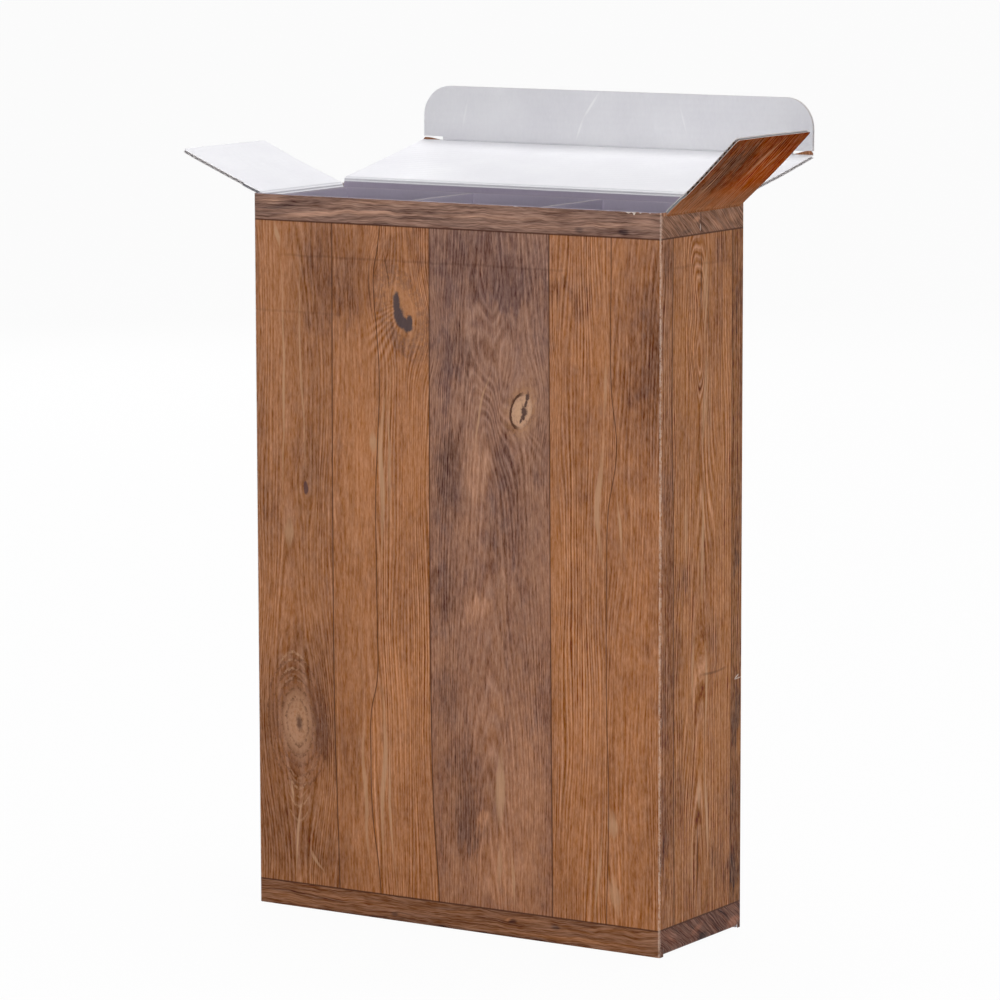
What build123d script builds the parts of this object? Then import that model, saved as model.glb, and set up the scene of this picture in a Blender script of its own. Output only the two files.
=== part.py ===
from build123d import *
import os
from math import cos, radians, sin, tan

# A tuck-top carton of corrugated board for three bottles, standing open.
# Millimetres: X across the front, Y from front to back, Z up, origin under the middle of the base.

# Board
board = 1.6
insert_board = 1.2
liner = 0.25
medium = 0.22
flute_pitch = 3.5
flute_crown = 0.7
crease_neck = 0.6
crease_gap = 0.2
crease_play = 0.15

# Walls
box_width = 240.0
box_depth = 80.8
front_height = 367.7
corner_radius = 1.6
inside_radius = 0.3
seam_gap = 0.3
glue_flap_width = 30.0
glue_flap_margin = 8.0

# Top flaps: fold lines counted from the front wall's upper edge
side_crease_drop = 0.6
lid_crease_rise = 2.4
dust_flap_length = 53.7
dust_flap_recess = 4.6
shoulder_step = 1.3
shoulder_length = 11.7
flap_clearance = 0.25
flap_corner = 2.0
tuck_height = 29.3
tuck_corner = 16.0
tuck_clearance = 0.3
tuck_side_clearance = 0.5
slit_length = 12.0
slit_opening = 2.4

# How far each flap stands from level, or from the panel that it hangs on, and the largest fold from straight
left_flap_rise = 22.3
right_flap_rise = 43.8
lid_rise = 11.5
tuck_fold = 78.5
largest_fold = 115.0

# Bottom
layer_gap = 0.15
bottom_flap_length = 52.0
bottom_tuck_height = 28.0
bottom_tuck_gap = 0.3

# Insert
bottle_diameter = 75.0
bottle_clearance = 0.2
insert_clearance = 0.3
ply_gap = 0.1
insert_drop = 2.0
notch_depth = 34.0
notch_width = 10.5

half_width = box_width / 2
half_depth = box_depth / 2
inner_half_width = half_width - board
inner_half_depth = half_depth - board
bend = board + inside_radius
crease_stop = board / 2 * tan(radians(largest_fold / 2)) + crease_play
pin_radius = crease_neck / 2
neck_end = pin_radius + crease_gap

side_crease = front_height - side_crease_drop
lid_crease = front_height + lid_crease_rise
side_fold_x = half_width - board / 2
lid_fold_y = half_depth - board / 2
lid_length = lid_fold_y + inner_half_depth - tuck_clearance - board / 2
lid_half_width = inner_half_width
tuck_half_width = inner_half_width - tuck_side_clearance

flap_rear = inner_half_depth - flap_clearance
flap_front = flap_clearance + dust_flap_recess - inner_half_depth
shoulder_front = flap_front - shoulder_step

cell_width = bottle_diameter + bottle_clearance
leaf_pair = 2 * insert_board + ply_gap
leaf_place = (cell_width + leaf_pair) / 2
insert_half_width = 1.5 * cell_width + leaf_pair + insert_board
insert_back = inner_half_depth - insert_clearance
insert_front = -(inner_half_depth - bottom_tuck_gap - board - insert_clearance)
minor_low = board + layer_gap
insert_low = minor_low + board
insert_top = front_height - insert_drop


def pressed_fold(stop_at, length):
    """Section of a board that starts at a fold: a round end on the fold's axis, a neck, a bevel, full board."""
    with BuildSketch() as section:
        with BuildLine():
            Polyline(
                (0, -pin_radius),
                (neck_end, -pin_radius),
                (stop_at, -board / 2),
                (length, -board / 2),
                (length, board / 2),
                (stop_at, board / 2),
                (neck_end, pin_radius),
                (0, pin_radius),
            )
            ThreePointArc((0, pin_radius), (-pin_radius, 0), (0, -pin_radius))
        make_face()
    return section.sketch


def flutes(start, end):
    """Sections of the channels between the liners, those under the medium's crowns and those over them."""
    height = board - 2 * liner
    foot = flute_pitch - flute_crown - 2 * medium
    count = int((end - start) / flute_pitch)
    first = (start + end - (count - 1) * flute_pitch) / 2
    with BuildSketch() as channels:
        for number in range(count):
            for side, shift in ((-1, 0), (1, flute_pitch / 2)):
                along = first + number * flute_pitch + shift
                base = side * height / 2
                crown = base - side * (height - medium)
                if along + foot / 2 < end - liner:
                    with BuildLine():
                        Polyline(
                            (along - foot / 2, base),
                            (along - flute_crown / 2, crown),
                            (along + flute_crown / 2, crown),
                            (along + foot / 2, base),
                            close=True,
                        )
                    make_face()
    return channels.sketch


# Carton: four walls, the seam's glue flap and the closed bottom, one folded blank
side_stop = side_crease - crease_stop
back_stop = lid_crease - crease_stop
fold_room = board + bend
minor_half_span = inner_half_depth - bottom_tuck_gap - board - layer_gap

with BuildPart() as carton_body:
    with BuildSketch(Plane.XY.offset(layer_gap)) as ring:
        Rectangle(box_width, box_depth)
        fillet(ring.vertices(), corner_radius)
        Rectangle(2 * inner_half_width, 2 * inner_half_depth, mode=Mode.SUBTRACT)
    extrude(amount=front_height - layer_gap)

    # the back wall rises to the lid's fold, pressed thin at its top
    with BuildSketch(Plane.YZ) as back_top:
        with BuildLine():
            Polyline(
                (half_depth, front_height - fold_room),
                (half_depth, back_stop),
                (lid_fold_y + pin_radius, lid_crease - neck_end),
                (lid_fold_y - pin_radius, lid_crease - neck_end),
                (inner_half_depth, back_stop),
                (inner_half_depth, front_height - fold_room),
                close=True,
            )
        make_face()
    extrude(amount=lid_half_width, both=True)

    # each side wall ends at its dust flap's fold the same way
    fold_span = flap_rear - shoulder_front
    fold_middle = (flap_rear + shoulder_front) / 2
    with BuildSketch(Plane.XY.offset(front_height)) as side_recess:
        with Locations((side_fold_x, fold_middle), (-side_fold_x, fold_middle)):
            Rectangle(2 * board, fold_span + 2 * flap_clearance)
    extrude(amount=side_stop - front_height, mode=Mode.SUBTRACT)
    with BuildSketch(Plane.XZ.offset(-flap_rear)) as side_tops:
        for side in (-1, 1):
            with BuildLine():
                Polyline(
                    (side * half_width, side_stop - board),
                    (side * half_width, side_stop),
                    (side * (side_fold_x + pin_radius), side_crease - neck_end),
                    (side * (side_fold_x - pin_radius), side_crease - neck_end),
                    (side * inner_half_width, side_stop),
                    (side * inner_half_width, side_stop - board),
                    close=True,
                )
            make_face()
    extrude(amount=fold_span)

    # room at the feet of the side and back walls for the rounded bottom folds
    with BuildSketch(Plane.XY) as side_feet:
        with Locations((half_width, 0), (-half_width, 0)):
            Rectangle(2 * bend, 2 * (minor_half_span + layer_gap))
    extrude(amount=minor_low + bend, mode=Mode.SUBTRACT)
    with BuildSketch(Plane.XY) as back_foot:
        with Locations((0, half_depth)):
            Rectangle(2 * (tuck_half_width + layer_gap), 2 * bend)
    extrude(amount=bend, mode=Mode.SUBTRACT)

    # bottom panel: hinged on the back wall, tucked up behind the front wall
    tuck_face = -(inner_half_depth - bottom_tuck_gap)
    with BuildSketch(Plane.YZ) as bottom_panel:
        with BuildLine():
            Polyline(
                (half_depth, fold_room),
                (half_depth, 0),
                (tuck_face, 0),
                (tuck_face, bottom_tuck_height),
                (tuck_face + board, bottom_tuck_height),
                (tuck_face + board, board),
                (inner_half_depth, board),
                (inner_half_depth, fold_room),
                close=True,
            )
        make_face()
        fillet(bottom_panel.vertices().group_by(Axis.Y)[0], bend)
        fillet(bottom_panel.vertices().group_by(Axis.Y)[1], inside_radius)
    extrude(amount=tuck_half_width, both=True)

    # minor bottom flaps folded in from the side walls, on top of the panel
    with BuildSketch(Plane.XZ.offset(-minor_half_span)) as minor_flaps:
        for side in (-1, 1):
            tip = half_width - bottom_flap_length
            with BuildLine():
                Line((side * half_width, minor_low + fold_room), (side * half_width, minor_low + bend))
                RadiusArc((side * half_width, minor_low + bend), (side * (half_width - bend), minor_low), side * bend)
                Polyline(
                    (side * (half_width - bend), minor_low),
                    (side * tip, minor_low),
                    (side * tip, minor_low + board),
                    (side * (inner_half_width - inside_radius), minor_low + board),
                )
                RadiusArc(
                    (side * (inner_half_width - inside_radius), minor_low + board),
                    (side * inner_half_width, minor_low + bend),
                    -side * inside_radius,
                )
                Polyline(
                    (side * inner_half_width, minor_low + bend),
                    (side * inner_half_width, minor_low + fold_room),
                    (side * half_width, minor_low + fold_room),
                )
            make_face()
    extrude(amount=2 * minor_half_span)

    # the seam: a glue flap from the back wall inside the left wall, and the left wall's free edge
    with BuildSketch(Plane.XY.offset(glue_flap_margin)) as glue_flap:
        with Locations((-inner_half_width, inner_half_depth)):
            Rectangle(board, glue_flap_width, align=(Align.MIN, Align.MAX))
    extrude(amount=side_stop - 2 * glue_flap_margin)
    with BuildSketch(Plane.XY) as seam:
        with Locations((-inner_half_width, inner_half_depth)):
            Rectangle(2 * board, seam_gap, align=(Align.MAX, Align.MAX))
    extrude(amount=lid_crease, mode=Mode.SUBTRACT)

carton_body.part.label = "carton_body"


def rest_plane(fold, reach, across):
    """Plane whose x runs along a flap from its fold and whose z runs along the fold."""
    return Plane(origin=fold, x_dir=reach, z_dir=across)


# Dust flaps, each with a shoulder near its fold and a recessed front edge that leaves the tuck its room
dust_flaps = {}
for name, side, rise in (("dust_flap_left", -1, left_flap_rise), ("dust_flap_right", 1, right_flap_rise)):
    reach = (side * cos(radians(rise)), 0, sin(radians(rise)))
    normal = (-side * sin(radians(rise)), 0, cos(radians(rise)))
    fold = (side * side_fold_x, 0, side_crease)
    section_plane = rest_plane(fold, reach, (0, side, 0))
    outline_plane = Plane(origin=fold, x_dir=reach, z_dir=normal)
    with BuildPart() as dust_flap:
        with BuildSketch(section_plane):
            add(pressed_fold(crease_stop, dust_flap_length))
        extrude(amount=half_depth, both=True)
        with BuildSketch(section_plane):
            add(flutes(crease_stop, dust_flap_length))
        extrude(amount=half_depth, both=True, mode=Mode.SUBTRACT)
        with BuildSketch(outline_plane) as outline:
            with BuildLine():
                front = side * flap_front
                rear = side * flap_rear
                step = side * shoulder_front
                Polyline(
                    (-pin_radius, step),
                    (shoulder_length, step),
                    (shoulder_length + shoulder_step, front),
                    (dust_flap_length, front),
                    (dust_flap_length, rear),
                    (-pin_radius, rear),
                    close=True,
                )
            make_face()
            fillet(outline.vertices().group_by(Axis.X)[-1], flap_corner)
        extrude(amount=board, both=True, mode=Mode.INTERSECT)
    dust_flap.part.label = name
    dust_flaps[name] = dust_flap

# Lid panel, folded back; its far end carries the tuck flap's fold between two slits
lid_reach = Vector(0, cos(radians(lid_rise)), sin(radians(lid_rise)))
lid_normal = Vector(0, -sin(radians(lid_rise)), cos(radians(lid_rise)))
lid_fold = Vector(0, lid_fold_y, lid_crease)
lid_section = Plane(origin=lid_fold, x_dir=lid_reach, z_dir=(1, 0, 0))
lid_outline = Plane(origin=lid_fold, x_dir=lid_reach, z_dir=lid_normal)
slit_inner = tuck_half_width - slit_length

with BuildPart() as lid_panel:
    with BuildSketch(lid_section):
        add(pressed_fold(crease_stop, lid_length / 2))
    extrude(amount=lid_half_width, both=True)
    with BuildSketch(lid_section):
        with BuildLine():
            Polyline(
                (lid_length / 2, -board / 2),
                (lid_length - crease_stop, -board / 2),
                (lid_length - neck_end, -pin_radius),
                (lid_length - neck_end, pin_radius),
                (lid_length - crease_stop, board / 2),
                (lid_length / 2, board / 2),
                close=True,
            )
        make_face()
    extrude(amount=lid_half_width, both=True)
    # beside the slits the end is a plain cut edge
    with BuildSketch(lid_outline):
        with Locations(
            (lid_length - crease_stop, (slit_inner + lid_half_width) / 2),
            (lid_length - crease_stop, -(slit_inner + lid_half_width) / 2),
        ):
            Rectangle(2 * (crease_stop - neck_end), lid_half_width - slit_inner)
    extrude(amount=board / 2, both=True)
    with BuildSketch(lid_section):
        add(flutes(crease_stop, lid_length - crease_stop))
    extrude(amount=half_width, both=True, mode=Mode.SUBTRACT)

lid_panel.part.label = "lid_panel"

# Tuck flap, standing on the lid's end; beside the slits it starts above the fold
tuck_fold_place = lid_fold + lid_reach * lid_length
tuck_angle = radians(lid_rise + tuck_fold)
tuck_reach = Vector(0, cos(tuck_angle), sin(tuck_angle))
tuck_normal = Vector(0, -sin(tuck_angle), cos(tuck_angle))
tuck_section = Plane(origin=tuck_fold_place, x_dir=tuck_reach, z_dir=(1, 0, 0))
tuck_outline = Plane(origin=tuck_fold_place, x_dir=tuck_reach, z_dir=tuck_normal)

with BuildPart() as tuck_flap:
    with BuildSketch(tuck_section):
        add(pressed_fold(crease_stop, tuck_height))
    extrude(amount=tuck_half_width, both=True)
    with BuildSketch(tuck_section):
        add(flutes(crease_stop, tuck_height))
    extrude(amount=half_width, both=True, mode=Mode.SUBTRACT)
    with BuildSketch(tuck_outline) as tuck_shape:
        with BuildLine():
            Polyline(
                (-pin_radius, -slit_inner),
                (slit_opening, -slit_inner),
                (slit_opening, -tuck_half_width),
                (tuck_height, -tuck_half_width),
                (tuck_height, tuck_half_width),
                (slit_opening, tuck_half_width),
                (slit_opening, slit_inner),
                (-pin_radius, slit_inner),
                close=True,
            )
        make_face()
        fillet(tuck_shape.vertices().group_by(Axis.X)[-1], tuck_corner)
    extrude(amount=board, both=True, mode=Mode.INTERSECT)

tuck_flap.part.label = "tuck_flap"

# Bottle divider: one strip of white board folded into two end leaves, a back and two doubled partitions
leaf_length = insert_back - insert_front
back_span = cell_width + 2 * insert_board

with BuildPart() as bottle_divider:
    with BuildSketch(Plane.XY.offset(insert_low)) as strip:
        for cell in (-1, 0, 1):
            middle = cell * 2 * leaf_place
            with Locations(
                (middle - (back_span - insert_board) / 2, insert_front),
                (middle + (back_span - insert_board) / 2, insert_front),
            ):
                Rectangle(insert_board, leaf_length, align=(Align.CENTER, Align.MIN))
            with Locations((middle, insert_back)):
                Rectangle(back_span, insert_board, align=(Align.CENTER, Align.MAX))
        with Locations((-leaf_place, insert_front), (leaf_place, insert_front)):
            Rectangle(leaf_pair, insert_board, align=(Align.CENTER, Align.MIN))
    extrude(amount=insert_top - insert_low)
    # the upper front corners are cut away for the tuck flap
    with BuildSketch(Plane.XY.offset(insert_top)):
        with Locations((0, insert_front)):
            Rectangle(2 * insert_half_width, notch_width, align=(Align.CENTER, Align.MIN))
    extrude(amount=-notch_depth, mode=Mode.SUBTRACT)

bottle_divider.part.label = "bottle_divider"

os.makedirs("parts", exist_ok=True)
export_step(carton_body.part, "parts/carton_body.step")
for name, dust_flap in dust_flaps.items():
    export_step(dust_flap.part, f"parts/{name}.step")
export_step(lid_panel.part, "parts/lid_panel.step")
export_step(tuck_flap.part, "parts/tuck_flap.step")
export_step(bottle_divider.part, "parts/bottle_divider.step")
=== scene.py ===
import math

import bpy
import numpy as np
from mathutils import Matrix


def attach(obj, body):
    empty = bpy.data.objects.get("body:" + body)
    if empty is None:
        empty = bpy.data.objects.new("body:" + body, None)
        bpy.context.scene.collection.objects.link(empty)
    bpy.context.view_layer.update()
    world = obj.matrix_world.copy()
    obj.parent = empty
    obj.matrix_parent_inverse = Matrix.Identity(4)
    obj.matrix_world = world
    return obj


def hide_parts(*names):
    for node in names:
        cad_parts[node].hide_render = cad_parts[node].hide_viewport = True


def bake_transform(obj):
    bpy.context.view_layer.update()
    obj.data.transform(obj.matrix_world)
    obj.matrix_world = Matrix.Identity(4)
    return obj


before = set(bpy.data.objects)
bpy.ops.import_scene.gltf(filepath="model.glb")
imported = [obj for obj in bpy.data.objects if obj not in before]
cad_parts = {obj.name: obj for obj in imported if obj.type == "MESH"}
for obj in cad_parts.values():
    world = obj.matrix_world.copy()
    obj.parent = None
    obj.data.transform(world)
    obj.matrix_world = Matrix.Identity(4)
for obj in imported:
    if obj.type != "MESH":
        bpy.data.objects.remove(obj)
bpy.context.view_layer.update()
print("frame loaded:", sorted(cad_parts))

# All sizes below are millimetres; meshes are turned to metres when they are made.
metre = 0.001

board = {
    "thick": 1.6,
    "liner": 0.25,
    "medium": 0.22,
    "pitch": 3.5,          # from one flute's crown to the next
    "pressed": 0.32,       # half thickness in the pressed folds
    "neck": 0.5,           # half width of the pressed line
    "foldStop": 1.41,      # where the board has its full thickness again
    "foldRadius": 0.45,
    "fluteInset": 0.12,    # from a flap's cut side to its fluted paper
}
halfBoard = board["thick"] / 2
halfMedium = board["medium"] / 2
fluteDepth = halfBoard - board["liner"] - halfMedium

carton = {
    "halfWidth": 120.0,
    "halfDepth": 40.4,
    "front": 367.7,
    "sideFold": (119.2, 367.1),
    "lidFold": (39.6, 370.1),
    "lidHalf": 118.4,
    "corner": 1.0,         # outer radius of the upright folds
    "innerCorner": 0.3,
    "seam": 38.2,          # the left wall's free rear edge
    "shoulder": -35.25,    # the dust flaps' front and rear ends, at the fold
    "flapRear": 38.55,
    "besideFlap": 0.25,    # from a flap's end to the cut beside it
    "foot": 0.15,
    "sideFoot": 5.25,      # where the side walls turn under, and half the length of that fold
    "sideFootHalf": 36.9,
    "backFoot": 3.5,
    "backFootHalf": 117.9,
    "bulge": {"front": 0.55, "right": 0.35, "back": 0.5, "left": 0.4},
}


# The camera stands where the picture was taken, from a fit to the carton's corners.
view = {
    "azimuth": 32.32,
    "elevation": 8.141,
    "roll": -0.125,
    "distance": 2460.82,
    "slide": (1.605, 29.89),
    "aim": (0.0, 0.0, 184.07),
    "lens": 174.70,
    "sensor": 36.0,
    "near": 0.05,          # in metres
    "far": 60.0,
}


# a camera or lamp in the scene: axes are its right, up and backward directions, place is in metres
def placed(name, data, axes, place):
    made = bpy.data.objects.new(name, data)
    turned = np.eye(4)
    turned[:3, :3] = np.stack(axes, -1)
    turned[:3, 3] = place
    made.matrix_world = Matrix(turned.tolist())
    bpy.context.scene.collection.objects.link(made)
    return made


def makeCamera():
    a, e, r = (math.radians(view[k]) for k in ("azimuth", "elevation", "roll"))
    back = np.array([math.sin(a) * math.cos(e), -math.cos(a) * math.cos(e), math.sin(e)])
    right = np.array([math.cos(a), math.sin(a), 0.0])
    up = np.cross(back, right)
    right, up = math.cos(r) * right + math.sin(r) * up, math.cos(r) * up - math.sin(r) * right
    place = view["aim"] + back * view["distance"] + right * view["slide"][0] + up * view["slide"][1]
    lens = bpy.data.cameras.new("camera")
    lens.lens = view["lens"]
    lens.sensor_width = view["sensor"]
    lens.clip_start, lens.clip_end = view["near"], view["far"]
    bpy.context.scene.camera = placed("camera", lens, (right, up, back), place * metre)


makeCamera()
print("camera made")


# A display colour as 0 to 255, turned to the light values that shaders take.
def linear(colour):
    c = np.array(colour, float) / 255
    return tuple(np.where(c <= 0.04045, c / 12.92, ((c + 0.055) / 1.055) ** 2.4))


# Materials are written as formulas: every Ink is the output of a node, and + - * / join Inks with Math nodes.
class Ink:
    def __init__(self, tree, socket):
        self.tree, self.socket = tree, socket

    def __add__(self, other):
        return maths("ADD", self, other)

    def __sub__(self, other):
        return maths("SUBTRACT", self, other)

    def __mul__(self, other):
        return maths("MULTIPLY", self, other)

    def __truediv__(self, other):
        return maths("DIVIDE", self, other)


# a new node: its inputs are Inks or plain values, by name or number
def node(tree, kind, inputs, output=0, **settings):
    added = tree.nodes.new(kind)
    for key, value in settings.items():
        setattr(added, key, value)
    for key, value in inputs.items():
        if isinstance(value, Ink):
            tree.links.new(value.socket, added.inputs[key])
        else:
            added.inputs[key].default_value = value
    return Ink(tree, added.outputs[output])


def treeOf(values):
    return next(value.tree for value in values if isinstance(value, Ink))


def maths(operation, *values):
    return node(treeOf(values), "ShaderNodeMath", dict(enumerate(values)), operation=operation)


# output 1 is the plain number that a length or a dot product gives
def vector(operation, *values, output=0):
    return node(treeOf(values), "ShaderNodeVectorMath", dict(enumerate(values)), output, operation=operation)


def combine(x, y, z=0.0):
    return node(treeOf((x, y, z)), "ShaderNodeCombineXYZ", {0: x, 1: y, 2: z})


def split(place):
    return tuple(node(place.tree, "ShaderNodeSeparateXYZ", {0: place}, output=k) for k in (0, 1))


# 0 before start, top after end, an s-curve between; start may be the larger of the two
def smooth(x, start, end, top=1.0):
    inputs = {"Value": x, "From Min": start, "From Max": end, "To Max": top}
    return node(x.tree, "ShaderNodeMapRange", inputs, interpolation_type="SMOOTHSTEP")


# 1 on a line and within half a width of it, fading out over soft
def stroke(offset, half, soft):
    return smooth(maths("ABSOLUTE", offset), half + soft, half)


def between(x, low, high, fade):
    return smooth(x, low - fade, low) * smooth(x, high + fade, high)


def held(x):
    return maths("MINIMUM", maths("MAXIMUM", x, 0.0), 1.0)


# distance from the middle of a turned ellipse, 1 on its rim
def reach(place, x, z, rx, rz, tilt=0.0):
    if not tilt:
        own = vector("MULTIPLY_ADD", place, (1 / rx, 1 / rz, 0.0), (-x / rx, -z / rz, 0.0))
    else:
        c, s = math.cos(math.radians(tilt)), math.sin(math.radians(tilt))
        own = vector("SUBTRACT", place, (x, z, 0.0))
        over = vector("DOT_PRODUCT", own, (c / rx, s / rx, 0.0), output=1)
        up = vector("DOT_PRODUCT", own, (-s / rz, c / rz, 0.0), output=1)
        own = combine(over, up)
    return vector("LENGTH", own, output=1)


# 1 well inside a turned ellipse and 0 outside it: shape is its middle, its half sizes and its tilt
def spot(place, shape, outer, inner):
    return smooth(reach(place, *shape), outer, inner)


# noise of about -1 to 1, stretched so that it changes over 1 / stretch
def noise(place, stretch, seed, detail=2.0, rough=0.5):
    shift = (seed * 17.31, seed * 7.93, seed * 3.37)
    moved = vector("MULTIPLY_ADD", place, (*stretch, 1.0), shift)
    inputs = {"Vector": moved, "Scale": 1.0, "Detail": detail, "Roughness": rough}
    return maths("MULTIPLY_ADD", node(place.tree, "ShaderNodeTexNoise", inputs), 4.0, -2.0)


# a curve through (0 to 1, 0 to 1) points, rounded or in straight runs
def curve(x, points, straight=False):
    value = node(x.tree, "ShaderNodeFloatCurve", {"Value": x})
    mapping = value.socket.node.mapping
    mapping.use_clip = False
    line = mapping.curves[0]
    for k, point in enumerate(points):
        if k < 2:
            line.points[k].location = point
        else:
            line.points.new(*point)
    if straight:
        for point in line.points:
            point.handle_type = "VECTOR"
    mapping.update()
    return value


# drawn lines are laid on a sheet, where a place of -130 mm is 0 and one of 380 mm is 1
sheetSize = 510
sheetStart = -130


def sheetPlace(x):
    return (x - sheetStart) / sheetSize


def onSheet(x):
    return maths("MULTIPLY_ADD", x, 1 / sheetSize, -sheetStart / sheetSize)


# where a drawn line lies at each height, both on the sheet, from (height, place) pairs in mm
def trace(height, pairs):
    points = [(sheetPlace(a), sheetPlace(b)) for a, b in sorted(pairs)]
    if points[0][0] > 0:
        points.insert(0, (0.0, points[0][1]))
    if points[-1][0] < 1:
        points.append((1.0, points[-1][1]))
    return curve(height, points)


def blended(a, b, share):
    return node(share.tree, "ShaderNodeMix", {0: share, 4: a, 5: b}, output=1, data_type="VECTOR")


def scaled(tone, amount):
    return node(amount.tree, "ShaderNodeVectorMath", {0: tone, "Scale": amount}, operation="SCALE")


def ink(name):
    return linear(inks[name] if isinstance(name, str) else name)


# part of a formula in a group of its own: body takes the group's inputs and gives its outputs
def grouped(name, body, *values):
    tree = values[0].tree
    group = bpy.data.node_groups.new(name, "ShaderNodeTree")

    def kind(value):
        return "NodeSocketVector" if value.socket.type == "VECTOR" else "NodeSocketFloat"

    for k, value in enumerate(values):
        group.interface.new_socket(f"in{k}", in_out="INPUT", socket_type=kind(value))
    entry = group.nodes.new("NodeGroupInput")
    results = body(*[Ink(group, entry.outputs[k]) for k in range(len(values))])
    for k, value in enumerate(results):
        group.interface.new_socket(f"out{k}", in_out="OUTPUT", socket_type=kind(value))
    leave = group.nodes.new("NodeGroupOutput")
    for k, value in enumerate(results):
        group.links.new(value.socket, leave.inputs[k])
    used = tree.nodes.new("ShaderNodeGroup")
    used.node_tree = group
    for k, value in enumerate(values):
        tree.links.new(value.socket, used.inputs[k])
    return [Ink(tree, used.outputs[k]) for k in range(len(results))]


def newMaterial(name, roughness, specular=0.5):
    made = bpy.data.materials.new(name)
    made.use_nodes = True
    shader = made.node_tree.nodes["Principled BSDF"]
    shader.inputs["Roughness"].default_value = roughness
    shader.inputs["Specular IOR Level"].default_value = specular
    return made, made.node_tree, shader


# the piece's own picture coordinates, in mm
def picturePlace(tree):
    uv = node(tree, "ShaderNodeUVMap", {}, uv_map="printMap")
    return vector("MULTIPLY", uv, (1 / metre, 1 / metre, 0.0))


# the height is in mm
def bumped(shader, height, strength):
    bump = node(height.tree, "ShaderNodeBump", {"Strength": strength, "Distance": metre, "Height": height})
    height.tree.links.new(bump.socket, shader.inputs["Normal"])


# the board's flutes, as they show through a liner
def fluteRibs(v):
    return maths("SINE", v * (2 * math.pi / board["pitch"]))


# Inks of the wood print
inks = {
    "orange": (180, 119, 74),
    "umber": (130, 82, 52),
    "purple": (117, 88, 80),
    "grey": (174, 134, 112),
    "pale": (200, 156, 120),
    "line": (68, 32, 18),
    "worn": (232, 222, 214),
}

# what the fibres add to each colour: about the same step of shade in all three
toothTone = (0.50, 0.34, 0.26)

# one growth ring, from its pale start to the thin dark line at its end, and a fine pale line beside that
ringShape = [(0.0, 0.52), (0.12, 0.78), (0.35, 0.66), (0.62, 0.44), (0.8, 0.1), (0.9, 0.2), (1.0, 0.52)]
lineShape = [(0.0, 0.32), (0.2, 0.5), (0.36, 0.98), (0.5, 0.8), (0.66, 0.4), (0.82, 0.12), (1.0, 0.32)]

marksPerGroup = 9          # streaks that share one node group


# which plank a point is on, how near a joint it is, and that plank's own values, column by column
def plankValues(art, place):
    u, v = split(place)
    across, height = onSheet(u), onSheet(v)
    gap, number = u * 0.0, u * 0.0
    for half, amount, *line in art["edges"]:
        offset = across - trace(height, line)
        shade = smooth(maths("ABSOLUTE", offset), (half + 0.38) / sheetSize, half / sheetSize)
        gap = maths("MAXIMUM", shade * amount, gap)
        number = number + maths("GREATER_THAN", offset, 0.0)
    last = max(len(art["planks"]) - 1, 1)
    share = number * (1 / last)
    picked = []
    for values in zip(*art["planks"]):
        low, high = min(values), max(values)
        if low == high:
            picked.append(u * 0.0 + low)
        else:
            points = [(k / last, (value - low) / (high - low)) for k, value in enumerate(values)]
            picked.append(maths("MULTIPLY_ADD", curve(share, points, straight=True), high - low, low))
    return [number, gap, *picked]


# the grain's place: bent in slow waves, and spread round each knot
def bentPlace(art, place):
    u, v = split(place)
    seed = art["seed"]
    bent = u + noise(place, (1 / 45, 1 / 170), seed + 1, 1.0) * art.get("wave", 1.6)
    bent = bent + noise(place, (1 / 11, 1 / 55), seed + 2, 1.0) * 0.45
    for knot in art["knots"]:
        near = spot(place, (*knot["at"], *knot["pinchSize"], knot.get("tilt", 0)), 1.0, 0.0)
        bent = bent - near * (u - knot["at"][0]) * knot["pinch"]
    return [bent]


# Rings cut by the plank's face: radius = root of (across squared + depth squared),
# where depth grows with height.
def grain(art, place, bent, number, pith, foot, lean, rings, show):
    u, v = split(place)
    seed = art["seed"]
    along = combine(bent, v, number * 3.7)
    across = bent - pith
    depth = (v - foot) * lean
    radius = maths("SQRT", across * across + depth * depth + 2.0)
    ring = radius * rings + noise(along, (1 / 16, 1 / 130), seed + 3, 1.0) * 0.9
    for *shape, hill in art.get("hills", ()):
        ring = ring + spot(place, shape, 1.0, 0.0) * hill
    strength = show * smooth(noise(along, (1 / 9, 1 / 90), seed + 4, 1.0), -1.3, 0.9)
    ringTone = (curve(maths("FRACT", ring), ringShape) - 0.5) * strength
    fineTone = (curve(maths("FRACT", ring * 1.9 + 0.4), lineShape) - 0.45) * strength
    broad = noise(along, (0.17, 0.008), seed + 6, 1.0, 0.6)
    fibre = noise(along, (0.95, 0.07), seed + 5, 3.0, 0.75)
    tick = noise(along, (1.2, 0.24), seed + 7, 2.0, 0.75)
    purple = broad * 0.14 - ringTone * 0.14 - fibre * 0.08
    light = broad * 0.08 + ringTone * 0.3
    fine = fibre * 0.18 + tick * 0.16 + fineTone * 0.58 + ringTone * 0.16
    return [purple, light, fine]


# soft stains and lighter places, each an ellipse with an uneven rim
def stains(art, place):
    u, v = split(place)
    purple = noise(place, (1 / 30, 1 / 75), art["seed"] + 9, 2.0) * 0.2
    light = u * 0.0
    for *shape, toPurple, toLight in art["patches"]:
        soft = spot(place, shape, 1.15, 0.1)
        if toPurple:
            purple = maths("MULTIPLY_ADD", soft, toPurple, purple)
        if toLight:
            light = maths("MULTIPLY_ADD", soft, toLight, light)
    return [purple, light]


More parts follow.
